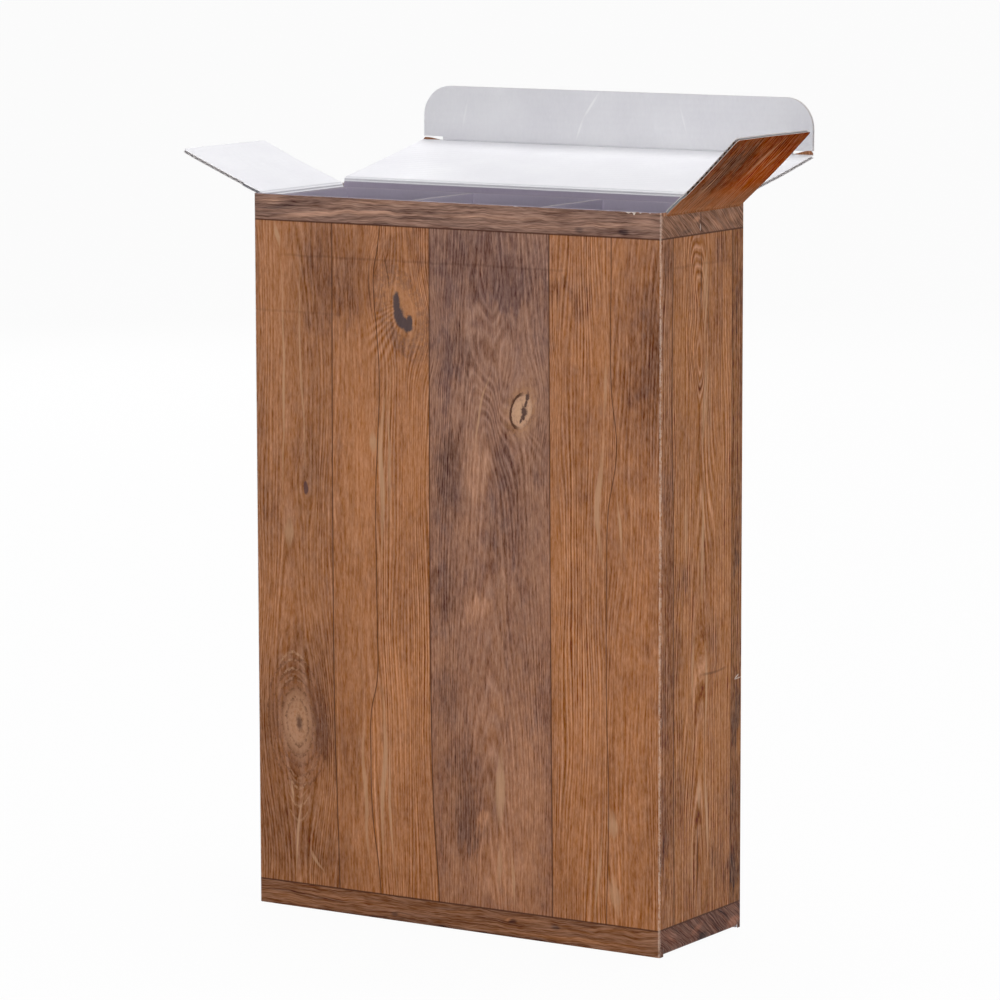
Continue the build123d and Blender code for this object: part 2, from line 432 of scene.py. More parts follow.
# drawn streaks along the grain, paler or darker than the wood, which thin out towards both ends
def drawnStreaks(marks, place):
    u, v = split(place)
    across, height = onSheet(u), onSheet(v)
    pale, dark = u * 0.0, u * 0.0
    for half, amount, *line in marks:
        low, high = sorted((line[0][0], line[-1][0]))
        fade = (high - low) * 0.4
        knees = (low - fade * 0.2, 0.0), (low + fade, 1.0), (high - fade, 1.0), (high + fade * 0.2, 0.0)
        taper = curve(height, [(sheetPlace(z), value) for z, value in knees], straight=True)
        offset = maths("ABSOLUTE", across - trace(height, line))
        offset = offset / maths("MULTIPLY_ADD", taper, half / sheetSize, 0.05 / sheetSize)
        mask = smooth(offset, 1.9, 0.7, top=abs(amount * 1.7)) * taper
        if amount > 0:
            pale = maths("MAXIMUM", mask, pale)
        else:
            dark = maths("MAXIMUM", mask, dark)
    return [pale, dark]


# fans of fine pale lines that leave a point, as beside a knot, pale arches over one, and faint level lines
def fansAndLevels(art, place, grit):
    u, v = split(place)
    light, pale, faint = u * 0.0, u * 0.0, u * 0.0
    worn = smooth(grit, -0.6, 0.5)
    for x, z, count, shape, amount in art.get("fans", ()):
        angle = maths("ARCTAN2", u - x, v - z)
        light = light + maths("SINE", angle * count) * spot(place, shape, 1.0, 0.55) * amount
    for middle, bend, wide, lines in art.get("arches", ()):
        side = u - middle
        level = maths("MULTIPLY_ADD", side * side, bend, v)
        low, high = lines[0][0] - 2.0, lines[-1][0] + 2.0
        knees = []
        for z, half, amount in lines:
            knees += [(z - half - 0.7, 0.0), (z - half, amount), (z + half, amount), (z + half + 0.7, 0.0)]
        points = [(max((z - low) / (high - low), 0.0), value) for z, value in knees]
        drawn = curve((level - low) * (1 / (high - low)), [(0.0, 0.0), *points, (1.0, 0.0)], straight=True)
        drawn = drawn * worn * smooth(maths("ABSOLUTE", side), wide, wide * 0.6)
        pale = maths("MAXIMUM", drawn, pale)
    for z, low, high, amount in art.get("levels", ()):
        faint = maths("MAXIMUM", stroke(v - z, 0.25, 0.7) * between(u, low, high, 12.0) * amount, faint)
    return [light, pale, faint]


# a knot's own face: a tint, fine arcs and a rim round its middle, and a dark body made of small ellipses
def knotFace(knot, tone, place, mottle):
    x, z = knot["at"]
    around = reach(place, x, z, *knot["size"], knot.get("tilt", 0)) + mottle * knot.get("ragged", 0.06)
    if "halo" in knot:
        tint, grow, amount = knot["halo"]
        tone = blended(tone, ink(tint), smooth(around, grow, 0.8) * smooth(mottle, -0.7, 0.5) * amount)
    if "ring" in knot:
        tint, middle, half, amount = knot["ring"]
        tone = blended(
            tone, ink(tint), stroke(around - middle, half, 0.3) * smooth(mottle, 0.6, -0.5) * amount,
        )
    if "face" in knot:
        tint, amount, full = knot["face"]
        tone = blended(tone, ink(tint), smooth(around, 1.12, full) * smooth(mottle, -1.4, 0.5) * amount)
    if "arcs" in knot:
        count, inner, outer, amount = knot["arcs"]
        lines = smooth(maths("SINE", around * count), 0.0, 0.95) * between(around, inner, outer, 0.2)
        tone = blended(tone, ink("line"), lines * smooth(mottle, 0.5, -0.5) * amount)
    if "rim" in knot:
        toRight, toTop, amount = knot["rim"]
        u, v = split(place)
        towards = (u - x) * toRight + (v - z) * toTop
        rim = stroke(around - 1.0, 0.05, 0.09) * smooth(towards, -1.5, 2.5)
        tone = blended(tone, ink("line"), rim * amount)
    if "body" in knot:
        body = None
        for shape in knot["body"]:
            near = reach(place, *shape)
            body = maths("MINIMUM", body, near) if body else near
        shade = smooth(body + mottle * knot.get("bodyRagged", 0.12), 1.2, knot.get("bodyFull", 0.8))
        tone = blended(tone, ink(knot["bodyInk"]), shade * knot.get("bodyAmount", 0.92))
    return tone


# a plank laid across the others: its grain runs along it, or is cut at an angle
def bandGrain(turn, seed, place):
    u, v = split(place)
    turn = math.radians(turn)
    along = u * math.cos(turn) + v * math.sin(turn)
    over = v * math.cos(turn) - u * math.sin(turn)
    over = over + noise(place, (1 / 45, 1 / 14), seed + 13, 1.0) * 1.3
    graining = combine(along, over)
    return [
        noise(graining, (0.018, 0.55), seed + 14, 3.0, 0.8),
        noise(graining, (0.08, 1.6), seed + 15, 2.0, 0.75),
    ]


# lays such a plank over the print, with a dark line along its edge
def crossBand(band, tone, place, still, coarse, fine):
    u, v = split(place)
    share = coarse * -0.36 + band["purple"]
    shade = fine * 0.1 + coarse * 0.06 + band["light"]
    for *shape, toPurple, toLight in band["patches"]:
        soft = spot(place, shape, 1.1, 0.2)
        share = maths("MULTIPLY_ADD", soft, toPurple, share)
        shade = maths("MULTIPLY_ADD", soft, toLight, shade)
    palest, darkest = band["inks"]
    wood = scaled(blended(ink(palest), ink(darkest), held(share)), maths("MAXIMUM", shade, 0.2))
    wood = vector("MULTIPLY_ADD", fine * 0.32, toothTone, wood)
    if "joint" in band:
        wood = blended(wood, ink("line"), stroke(u - band["joint"], 0.25, 0.4) * 0.8)
    x, z = split(still)
    rim = z - band["rim"] - x * band.get("lean", 0.0)
    if "high" in band:
        inside = smooth(rim, -0.3, 0.3) * smooth(z, band["high"], band["high"] - 0.3)
    else:
        inside = smooth(rim, 0.3, -0.3)
    tone = blended(tone, wood, inside)
    return blended(tone, ink("line"), stroke(rim, 0.18, 0.45) * 0.85)


# small scratches, and worn, whitish folds: upright ones at a place across, others at a height
def wear(art, tone, place, grit):
    u, v = split(place)
    for *shape, amount in art.get("scratches", ()):
        tone = blended(tone, ink("worn"), spot(place, shape, 1.1, 0.5) * amount)
    for fold in art["folds"]:
        offset = u - fold["across"] if "across" in fold else v - fold["up"]
        rubbed = stroke(offset + grit * 0.1, fold["half"], fold.get("soft", 0.5))
        rubbed = rubbed * smooth(grit, *fold["grit"])
        tone = blended(tone, ink(fold.get("ink", "worn")), rubbed * fold["amount"])
    return tone


# a whole print, from its grain to its wear, on the piece's own picture coordinates
def printMaterial(name, art):
    paint, tree, shader = newMaterial(name, *art.get("gloss", (0.55, 0.16)))
    seed = art["seed"]
    place = picturePlace(tree)
    number, gap, pith, foot, lean, rings, show, plankPurple, plankLight, grey = grouped(
        name + "Planks", lambda p: plankValues(art, p), place,
    )
    grit = noise(place, (0.5, 0.4), seed + 21, 3.0, 0.75)
    mottle = noise(place, (1 / 11, 1 / 19), seed + 8, 2.0, 0.6)
    tremble = noise(place, (1 / 5, 1 / 16), seed + 10, 2.0)
    shaky = vector("ADD", place, combine(tremble * 0.35, mottle * 0.5))
    finger = noise(place, (0.5, 0.08), seed + 18, 2.0, 0.65)
    loose = vector("ADD", place, combine(mottle * 3.2 + tremble * 1.2, finger * 9.0 + mottle * 5.0))
    (bent,) = grouped(name + "Bend", lambda p: bentPlace(art, p), place)
    grainPurple, grainLight, fine = grouped(
        name + "Grain", lambda *p: grain(art, *p), place, bent, number, pith, foot, lean, rings, show,
    )
    stainPurple, stainLight = grouped(name + "Stains", lambda p: stains(art, p), loose)
    ragged = noise(place, (0.26, 0.1), seed + 19, 3.0, 0.76)
    purple = plankPurple + stainPurple + ragged * 0.27 + mottle * 0.1 + grainPurple
    purple = purple * 1.2 - 0.06
    light = plankLight + stainLight + mottle * 0.04 + grainLight
    fanLight, arches, faint = grouped(name + "Fans", lambda p, g: fansAndLevels(art, p, g), shaky, grit)
    palette = {**inks, **art.get("inks", {})}
    fade = vector("DOT_PRODUCT", place, (0.0, 1 / 700, 0.0), output=1)
    dark = blended(ink(palette["umber"]), ink(palette["purple"]), held(grey + fade + mottle * 0.2 - 0.25))
    greyed = grey * maths("MULTIPLY_ADD", fade, 1.9, 0.5)
    tone = blended(blended(ink(palette["orange"]), ink(palette["grey"]), greyed), dark, held(purple))
    tone = scaled(tone, maths("MAXIMUM", light, 0.2))
    tone = vector("MULTIPLY_ADD", fine * art.get("contrast", 1.0) + fanLight, toothTone, tone)
    tone = blended(tone, ink("pale"), arches)
    for k in range(0, len(art["streaks"]), marksPerGroup):
        marks = art["streaks"][k:k + marksPerGroup]
        pale, dark = grouped(f"{name}Streaks{k}", lambda p: drawnStreaks(marks, p), shaky)
        tone = blended(tone, ink("pale"), pale)
        tone = blended(tone, ink("line"), dark)
    for k, knot in enumerate(art["knots"]):
        (tone,) = grouped(f"{name}Knot{k}", lambda t, p, g: [knotFace(knot, t, p, g)], tone, shaky, grit)
    tone = blended(tone, ink("line"), maths("MAXIMUM", gap, faint))
    if art["bands"]:
        turn = art.get("bandTurn", 0.5)
        coarse, slight = grouped(name + "BandGrain", lambda p: bandGrain(turn, seed, p), shaky)
    for k, band in enumerate(art["bands"]):
        (tone,) = grouped(
            f"{name}Band{k}", lambda t, *rest: [crossBand(band, t, *rest)],
            tone, shaky, place, coarse, slight,
        )
    (tone,) = grouped(name + "Wear", lambda t, p, g: [wear(art, t, p, g)], tone, place, grit)
    tree.links.new(tone.socket, shader.inputs["Base Color"])
    # the flutes show faintly through the liner, and the paper has a fine tooth
    u, v = split(place)
    bumped(shader, fluteRibs(v) * 0.02 + noise(place, (1.6, 1.6), seed + 12, 1.0) * 0.012, 0.6)
    return paint


frontArt = {
    "seed": 11,
    "edges": [    # half width, amount, then (height, place) pairs
        (0.16, 0.82, (14, -70), (60, -71.2), (100, -72.3), (190, -72.7), (354, -72.2)),
        (0.12, 0.8, (12, -44.7), (24, -45.5), (50, -49), (65, -50), (85, -50.2), (107, -49.7), (124, -46),
         (150, -45.8), (184, -46.2), (221, -46.3), (246, -45), (278, -43.8), (300, -45.2), (320, -47),
         (330, -47.2), (345, -44.5), (354, -43.5)),
        (0.16, 0.82, (14, -9.2), (60, -12.2), (100, -13.3), (190, -13.8), (354, -13.8)),
        (0.16, 0.82, (14, 58.2), (100, 57.6), (190, 57), (354, 56.2)),
        (0.1, 0.75, (14, 89.5), (80, 90.7), (120, 89.5), (190, 89.5), (220, 90.3), (250, 95), (280, 92),
         (340, 91.7)),
    ],
    "planks": [    # the rings' pith, its foot and lean, their count per mm and strength; purple, light, grey
        (-97, 60, 0.035, 0.3, 0.6, 0.3, 0.95, 0.15),
        (-160, 200, 0.15, 0.16, 0.35, 0.2, 1, 0.12),
        (20, 200, 0.1, 0.32, 0.95, 0.28, 1.02, 0.12),
        (22, -100, 0.06, 0.42, 0.5, 0.54, 1.04, 0.6),
        (-60, 200, 0.1, 0.32, 0.95, 0.3, 1.02, 0.12),
        (240, 60, 0.2, 0.26, 0.6, 0.32, 1.02, 0.12),
    ],
    "knots": [
        {
            "at": (-30, 312), "size": (5, 9.5), "tilt": 28, "pinch": 0.75, "pinchSize": (26, 46),
            "halo": ((196, 140, 96), 3, 0.5), "ring": ((112, 84, 74), 2.2, 0.5, 0.4),
            "body": [
                (-33.2, 315.2, 2.4, 7.2, 3), (-32.2, 310.4, 3.3, 5.4, 8), (-29.6, 306.7, 4.4, 3.4, -38),
                (-26.8, 304.7, 3.4, 2.9, -8), (-25.2, 307.6, 1.7, 3.4, 12),
            ],
            "bodyInk": (66, 60, 66), "bodyFull": 0.62, "bodyAmount": 0.9, "bodyRagged": 0.2,
        },
        {
            "at": (40.2, 266.3), "size": (5.6, 8.8), "tilt": -20, "pinch": 0.7, "pinchSize": (24, 44),
            "halo": ((196, 146, 104), 2.2, 0.55), "face": ((214, 172, 140), 0.7, 0.9),
            "rim": (-1, 0.15, 0.9),
            "body": [
                (43.8, 273.4, 1.2, 2.2, -6), (43, 270.2, 0.8, 2.2, -20), (42, 266.2, 2, 2.5, 20),
                (41.2, 263.4, 1.4, 1.4, 0), (39.8, 261.6, 0.6, 1.8, -22),
            ],
            "bodyInk": (78, 54, 50), "bodyFull": 0.6, "bodyRagged": 0.3,
        },
        {
            "at": (-95.5, 97), "size": (12, 21.5), "tilt": 4, "pinch": 0.86, "pinchSize": (34, 92),
            "ragged": 0.1, "halo": ((114, 82, 72), 1.9, 0.45), "ring": ((120, 82, 58), 0.6, 0.08, 0.5),
            "face": ((206, 158, 122), 0.62, 0.35), "arcs": (26, 0.45, 1.5, 0.5),
            "body": [(-94.4, 96.6, 2.4, 5, 8)], "bodyInk": (88, 58, 44), "bodyFull": 0.2,
            "bodyAmount": 0.85, "bodyRagged": 0.3,
        },
        {
            "at": (-88.8, 219), "size": (2, 4), "pinch": 0.5, "pinchSize": (9, 26),
            "body": [(-89.2, 219, 1.5, 3.6, 4)], "bodyInk": (84, 58, 60), "bodyAmount": 0.85,
        },
    ],
    "hills": [(24, 292, 20, 46, 8, 3), (-44, 326, 9, 34, 0, 2.6)],
    "patches": [    # across, up, half sizes, tilt, towards purple, towards light
        (-110, 332, 13, 60, 0, -0.22, 0.1), (-83, 328, 14, 32, 0, 0.34, -0.05),
        (-104, 262, 18, 60, 0, -0.12, 0.05), (-84, 226, 9, 26, 0, 0.12, -0.04),
        (-112, 160, 18, 34, 0, -0.2, 0.03), (-115, 92, 9, 30, 0, 0.26, -0.16),
        (-79, 96, 9, 34, 6, 0.42, -0.14), (-90, 132, 22, 22, 0, 0.2, -0.08),
        (-101, 45, 30, 46, 0, 0.3, -0.12), (-78, 26, 14, 20, 0, 0.18, -0.04),
        (-61, 330, 14, 34, 0, 0.34, -0.04), (-52, 236, 12, 50, 0, -0.16, 0.1),
        (-60, 290, 16, 26, 0, -0.1, 0.02), (-62, 78, 13, 42, 0, 0.26, -0.04),
        (-66, 28, 12, 22, 0, 0.2, -0.06), (-47, 92, 5, 30, 0, -0.3, 0), (-22, 322, 11, 18, 0, -0.3, 0.02),
        (-25, 348, 9, 10, 0, 0.36, -0.04), (-37, 342, 8, 13, 0, 0.3, -0.04),
        (-30, 298, 12, 9, 0, 0.28, -0.04), (-24, 236, 13, 50, 0, -0.12, 0.03),
        (-33, 124, 12, 20, 0, -0.06, 0.1), (-3, 229, 13, 26, 0, 0.34, -0.22),
        (-3, 246, 7, 12, 0, 0.2, -0.16), (3, 294, 17, 14, 0, 0.25, -0.12), (34, 330, 24, 16, 0, 0.2, -0.06),
        (2, 340, 12, 16, 0, 0.1, -0.02), (18, 338, 44, 34, 0, 0.22, 0), (31, 238, 10, 20, 20, 0.25, -0.12),
        (14, 232, 9, 36, 0, -0.36, 0.02), (50, 246, 7, 24, 0, 0.2, -0.06),
        (33, 208, 16, 20, 0, 0.14, -0.06), (6, 206, 8, 9, 0, -0.3, 0), (-6, 172, 10, 26, 0, 0.26, -0.12),
        (12, 164, 10, 8, 0, -0.3, 0.06), (38, 150, 20, 44, 0, 0.02, -0.05),
        (-4, 118, 9, 22, 0, 0.28, -0.08), (20, 112, 13, 24, 0, -0.22, 0.04),
        (3.7, 80, 15, 18, 0, 0.16, -0.1), (9, 54, 14, 22, 0, 0.4, -0.16), (16, 60, 6, 7, 0, -0.5, 0.14),
        (25, 34, 22, 28, 0, -0.34, 0.06), (42, 84, 16, 46, 0, -0.24, 0.02), (48, 40, 12, 40, 0, -0.2, 0),
        (74, 326, 12, 12, 0, 0.24, -0.06), (62, 330, 9, 8, 0, 0.3, -0.06),
        (105, 300, 18, 60, 0, 0.22, -0.05), (116, 300, 8, 70, 0, 0.3, -0.12),
        (74, 110, 20, 90, 0, -0.12, 0.05), (105, 130, 16, 80, 0, -0.12, 0.03),
        (-67, 318, 9, 14, 0, 0.26, 0), (-20, 334, 9, 12, 0, 0.3, 0), (94, 64, 6, 18, 0, 0, 0.12),
        (95, 34, 5, 16, 0, 0, 0.14), (115, 60, 7, 60, 0, 0.14, -0.08),
    ],
    "streaks": [    # half width, amount (dark if under 0), then (height, place) pairs
        (0.4, 0.45, (352, -105), (330, -103.5), (300, -102.6), (262, -102.5), (200, -104)),
        (0.9, 0.5, (354, -107.5), (340, -104)),
        (0.4, 0.35, (352, -91), (300, -92.5), (240, -89.5), (212, -89)),
        (2.2, 0.35, (205, -99.5), (186, -100)),
        (0.9, 0.45, (278, -39), (262, -41.5), (244, -43.5), (215, -42), (180, -43.5)),
        (0.4, 0.35, (285, -36), (262, -38.5), (240, -38), (190, -38.5)),
        (0.9, 0.4, (130, -45), (108, -42), (84, -41.5), (60, -43.5), (34, -43), (18, -41)),
        (0.5, 0.4, (104, -38), (70, -39), (40, -37.5), (14, -34.5)),
        (0.7, 0.35, (112, -53), (84, -55), (60, -53), (40, -53), (16, -48)),
        (1.6, 0.4, (252, -48), (238, -47.5)),
        (2, 0.42, (98, 28), (74, 27.5), (52, 27.5)),
        (1, 0.3, (52, 28), (36, 27), (20, 26)),
        (0.6, 0.35, (46, 34), (14, 36)),
        (0.4, 0.35, (290, 24), (270, 17), (240, 13)),
        (1.1, 0.4, (262, 88), (240, 86), (220, 84), (200, 86), (186, 88)),
        (0.6, 0.3, (300, 89), (280, 88.5), (262, 88)),
        (0.6, 0.4, (230, 95), (214, 97), (196, 98)),
        (2, 0.4, (72, 92.5), (56, 93.5)),
        (2, 0.35, (40, 93), (18, 96)),
        (0.6, 0.35, (60, 87), (30, 84), (14, 82.5)),
        (0.45, 0.5, (62, -91), (50, -94.5), (36, -96), (14, -97)),
        (0.4, 0.5, (68, -100), (54, -98)),
        (0.8, 0.4, (33, -88), (26, -85), (19, -79)),
        (1, 0.5, (274, 41.6), (270.5, 39.6), (266.3, 38.2), (261.8, 38.4), (258.4, 39.8)),
        (0.35, -0.35, (345, -49), (322, -50), (304, -47)),
        (0.3, -0.4, (346, -42), (330, -38.5), (318, -37)),
    ],
    "fans": [    # the point, lines per turn, the part that shows, amount
        (-26, 318, 46, (-40, 300, 12, 20, -22), 0.17),
        (39, 262, 30, (46, 246, 9, 13, 12), 0.1),
    ],
    "arches": [    # middle, bend, half width, then (height, half width, amount) of each line
        (-98, 0.09, 9.5, (
            (119.6, 0.35, 0.6), (121.8, 0.2, 0.4), (125, 0.45, 0.75), (129.6, 0.3, 0.6), (133.6, 0.4, 0.75),
        )),
        (-95, -0.16, 8, (
            (46, 0.3, 0.45), (53, 0.35, 0.6), (58, 0.2, 0.4), (62.5, 0.4, 0.6), (65.4, 0.2, 0.4),
            (68, 0.3, 0.5),
        )),
    ],
    "levels": [(337.2, -95, 60, 0.22), (308.5, -118, -70, 0.14)],
    "bands": [
        {
            "high": 380, "rim": 354.7, "lean": 0.0008, "purple": 0.56, "light": 0.97,
            "inks": ((178, 138, 116), (98, 74, 68)),
            "patches": [
                (-84, 358.6, 26, 1.7, 5.5, -0.9, 0.16), (-48, 360.8, 22, 1.5, 1, -0.8, 0.14),
                (-52, 365.6, 34, 1.4, 2, -0.4, 0.02), (-109, 364.6, 10, 2.6, 8, -0.4, -0.02),
                (-102, 361.5, 16, 1.6, 6, 0.25, -0.16), (-18, 356.4, 34, 0.9, -1.5, 0, 0.14),
                (30, 362, 50, 2, 1, -0.4, 0.06), (48, 358, 40, 1.2, 0, -0.24, 0.06),
                (88, 360.6, 20, 1.6, 3, -0.4, 0.08), (73.7, 357.7, 3.2, 1.7, 0, 0.4, -0.3),
                (98.7, 357.7, 4, 1.8, 0, 0.4, -0.28), (110, 362.5, 10, 3.6, 0, -0.2, 0.12),
            ],
        },
        {
            "rim": 13.05, "lean": 0.0035, "purple": 0.54, "light": 0.93,
            "inks": ((172, 118, 80), (94, 60, 46)),
            "patches": [
                (34.5, 8.6, 3.4, 1.8, 0, 0.4, -0.24), (59.5, 8.5, 3.4, 1.8, 0, 0.4, -0.26),
                (-36.3, 3.5, 3, 1.4, 0, 0.4, -0.2), (32, 9, 3, 1, 20, -0.4, 0.2),
                (-60, 7.6, 44, 1.6, -1, -0.3, 0.12), (80, 4, 50, 2, 1, -0.3, 0.08),
                (0, 0.6, 130, 1.4, 0, 0.2, -0.18), (-100, 4, 20, 3, 0, -0.2, -0.04),
            ],
        },
    ],
    "folds": [
        {"across": 119.5, "half": 0.22, "amount": 0.55, "grit": (-0.9, 0.5), "ink": (220, 194, 176)},
        {"across": -119.5, "half": 0.15, "amount": 0.3, "grit": (-0.5, 0.7)},
    ],
}

sideArt = {
    "seed": 29, "contrast": 1.35, "bandTurn": -36,
    "inks": {"orange": (179, 117, 66), "umber": (126, 76, 44)},
    "edges": [
        (0.3, 0.7, (14, -26.6), (100, -27.8), (180, -28.3), (240, -29.2), (260, -29.9), (300, -29.7),
         (354, -29.3)),
        (0.18, 0.75, (14, 29), (100, 29.2), (160, 29.4), (240, 29), (354, 28.8)),
    ],
    "planks": [
        (40, 200, 0.1, 0.35, 0.8, 0.44, 0.98, 0.2),
        (-3, -40, 0.05, 0.32, 0.9, 0.26, 0.99, 0.12),
        (-60, 200, 0.1, 0.32, 0.7, 0.4, 0.68, 0),
    ],
    "knots": [
        {"at": (-1.5, 143), "size": (1, 1), "pinch": 0.8, "pinchSize": (15, 44)},
        {"at": (-6, 56), "size": (1, 1), "pinch": 0.5, "pinchSize": (11, 50)},
    ],
    "hills": [(-6, 330, 12, 34, 12, -2.2), (-6, 298, 11, 30, 12, -2)],
    "patches": [
        (-7, 330, 4.2, 11, 24, -0.05, 0.17), (-7.6, 298, 4.6, 12, 14, -0.05, 0.17),
        (-10, 312, 8, 8, 0, -0.14, -0.04), (20, 345, 12, 10, 0, 0.26, -0.06),
        (-36, 345, 8, 14, 0, 0.2, -0.08), (14, 322, 10, 24, 0, 0.12, 0), (34, 250, 9, 70, 0, -0.2, 0),
        (36, 318, 6, 16, 0, 0.2, -0.08), (22, 280, 12, 60, 0, -0.1, 0.02),
        (-18, 320, 12, 50, 0, -0.12, 0.02), (-36, 290, 8, 30, 0, 0.1, -0.04), (-16, 214, 7, 30, 0, 0, 0.06),
        (12, 174, 13, 10, 0, -0.04, 0.15), (-18, 186, 12, 14, 0, 0.32, -0.14),
        (-24, 150, 8, 26, 0, 0.26, -0.12), (-35, 190, 8, 40, 0, 0.2, -0.06),
        (34, 192, 6, 11, 0, 0.5, -0.16), (12, 150, 12, 14, 0, 0.1, -0.08),
        (-35, 130, 8, 40, 0, 0.26, -0.12), (-22, 113, 8, 14, 0, 0.2, -0.1), (33, 106, 5, 22, 4, 0.3, -0.24),
        (37.5, 96, 3.4, 12, -6, -0.5, 0.12), (-1, 102, 6, 18, 0, 0, 0.12), (-22, 82, 8, 22, 0, 0.16, -0.1),
        (-35, 60, 8, 40, 0, 0.3, -0.12), (-38, 52, 3, 9, 0, 0.5, -0.06), (-33, 46, 5, 7, 0, -0.4, 0.06),
        (16, 42, 10, 12, 0, 0.26, -0.12), (30, 66, 9, 20, 0, 0.16, -0.1), (32, 31, 12, 11, 0, 0.36, -0.2),
        (4, 34, 4.6, 13, -8, 0, 0.14), (-12, 52, 7, 22, 0, -0.12, 0.06), (36, 18, 8, 6, 0, -0.3, 0),
        (0, 20, 60, 110, 0, 0, -0.13),
    ],
    "streaks": [
        (0.25, -0.6, (354, -1.9), (330, -2.3), (304, -2.7)),
        (0.15, -0.3, (304, -2.8), (240, -3.6), (160, -3.2)),
        (0.25, -0.5, (75, -3.7), (40, -3.6), (12, -3.4)),
        (0.2, -0.4, (352, 6), (320, 5.2), (290, 4.6)),
        (0.2, -0.35, (345, 17.9), (300, 17.4), (250, 17)),
        (0.9, 0.45, (352, 4.4), (338, 2.6), (322, 0.6), (312, -0.6)),
        (0.6, 0.45, (340, 4.6), (322, 3.2), (306, 1.4), (298, 0.6)),
        (0.5, 0.35, (346, 0.8), (330, -0.4)),
        (0.7, 0.45, (306, 2.8), (282, 2.2), (262, 0.6), (240, 0)),
        (0.35, 0.35, (300, 4.8), (272, 4), (246, 2.4)),
        (0.3, 0.3, (290, 7.4), (240, 6.4)),
        (0.8, 0.4, (245, 0), (212, 0.2), (190, -0.6), (172, -0.4), (158, 1.4)),
        (0.7, 0.5, (160, 1.2), (150, 3), (140, 4.2), (128, 4.4), (112, 3.4), (96, 2.6)),
        (0.6, 0.4, (166, -6.8), (150, -8.6), (138, -9.6), (124, -9.4), (112, -8)),
        (1, 0.3, (235, -17), (200, -16.6), (188, -16.4)),
        (0.6, 0.25, (108, -8), (96, -9)),
        (0.8, 0.5, (96, 2.8), (76, 4), (60, 5.6), (46, 6.2), (34, 4.6)),
        (1, 0.35, (90, -2.6), (76, -3), (64, -1.6)),
        (0.7, 0.3, (66, -9), (40, -9.6), (20, -8.8)),
        (0.5, 0.3, (44, 12), (14, 12.6)),
    ],
    "levels": [(135.5, 6, 17, 0.4), (340, -40, 20, 0.16)],
    "bands": [
        {
            "high": 366.1, "rim": 354.9, "purple": 0.5, "light": 0.96, "joint": -2.4,
            "inks": ((172, 126, 98), (92, 66, 54)),
            "patches": [
                (-6.5, 362.4, 4.5, 2, 8, -0.7, 0.2), (-32, 362, 9, 3.5, 0, -0.1, 0.08),
                (14, 358, 8, 2, -20, -0.3, 0.08), (-16, 357, 6, 1.6, 0, 0.3, -0.16),
                (28, 361, 9, 3, 0, -0.3, 0.06),
            ],
        },
        {
            "rim": 13.8, "purple": 0.58, "light": 0.86, "inks": ((150, 100, 78), (82, 56, 48)),
            "patches": [
                (33, 4.6, 8, 3.2, 6, -0.9, 0.14), (-4, 8, 8, 2.4, 20, -0.5, 0.08),
                (-30, 9, 9, 3, -30, -0.3, 0.06), (2, 3, 6, 2.6, 0, 0.5, -0.16),
                (0, 0.4, 60, 1.5, 0, 0.2, -0.2),
            ],
        },
    ],
    "scratches": [
        (35, 129.6, 2.6, 0.5, 24, 0.7), (36.5, 128.6, 4.2, 0.35, 3, 0.6), (-2.9, 358.2, 0.35, 2.2, 0, 0.8),
    ],
    "folds": [
        {"across": -40, "half": 0.34, "amount": 0.5, "grit": (-0.5, 0.8), "ink": (220, 194, 176)},
        {"across": -38.6, "half": 0.6, "amount": 0.2, "grit": (0.35, 1.1)},
    ],
}

flapArt = {
    "seed": 83, "wave": 1.2, "gloss": (0.8, 0),
    "inks": {"orange": (164, 78, 4), "umber": (108, 60, 24), "purple": (112, 90, 80)},
    "edges": [],
    "planks": [
        (-90, 300, 0.1, 0.3, 0.7, 0.36, 0.78, 0),
    ],
    "knots": [],
    "patches": [
        (-14, 404, 15, 17, -14, 0.4, -0.04), (-26, 384, 9, 14, 0, 0.16, 0.02),
        (22, 398, 17, 26, -14, -0.5, 0.1), (33, 404, 8, 26, 0, -0.4, 0.02), (4, 380, 16, 12, 0, -0.2, 0.06),
        (-30, 412, 6, 10, 0, 0.2, -0.14), (0, 370, 60, 15, 0, 0.1, 0.22), (-20, 400, 22, 30, 0, 0.2, 0.12),
        (30, 420, 34, 24, 0, -0.3, -0.26),
    ],
    "streaks": [
        (0.5, -0.4, (420, 11), (404, 7), (390, 4)),
        (1.4, 0.25, (420, 17), (405, 12), (386, 9)),
        (0.8, 0.25, (412, 26), (390, 22)),
        (0.6, 0.3, (396, -20), (374, -22)),
    ],
    "bands": [],
    "folds": [
        {"up": 367.1, "half": 1.6, "soft": 1.2, "amount": 0.35, "grit": (-0.4, 0.8), "ink": (206, 150, 96)},
        {"up": 367.1, "half": 0.3, "amount": 0.4, "grit": (0.3, 1)},
        {"up": 367.1, "half": 5, "soft": 17, "amount": 0.34, "grit": (-4, -3), "ink": (172, 128, 98)},
    ],
}


# The panels that the picture doesn't show carry the same kind of print, drawn from a seed.
hidden = {
    "jointHalf": 0.16,
    "grey": 0.12,
    "patchRoom": 1400,     # each patch and each streak has this much of half the panel, in square mm
    "streakRoom": 4000,
}


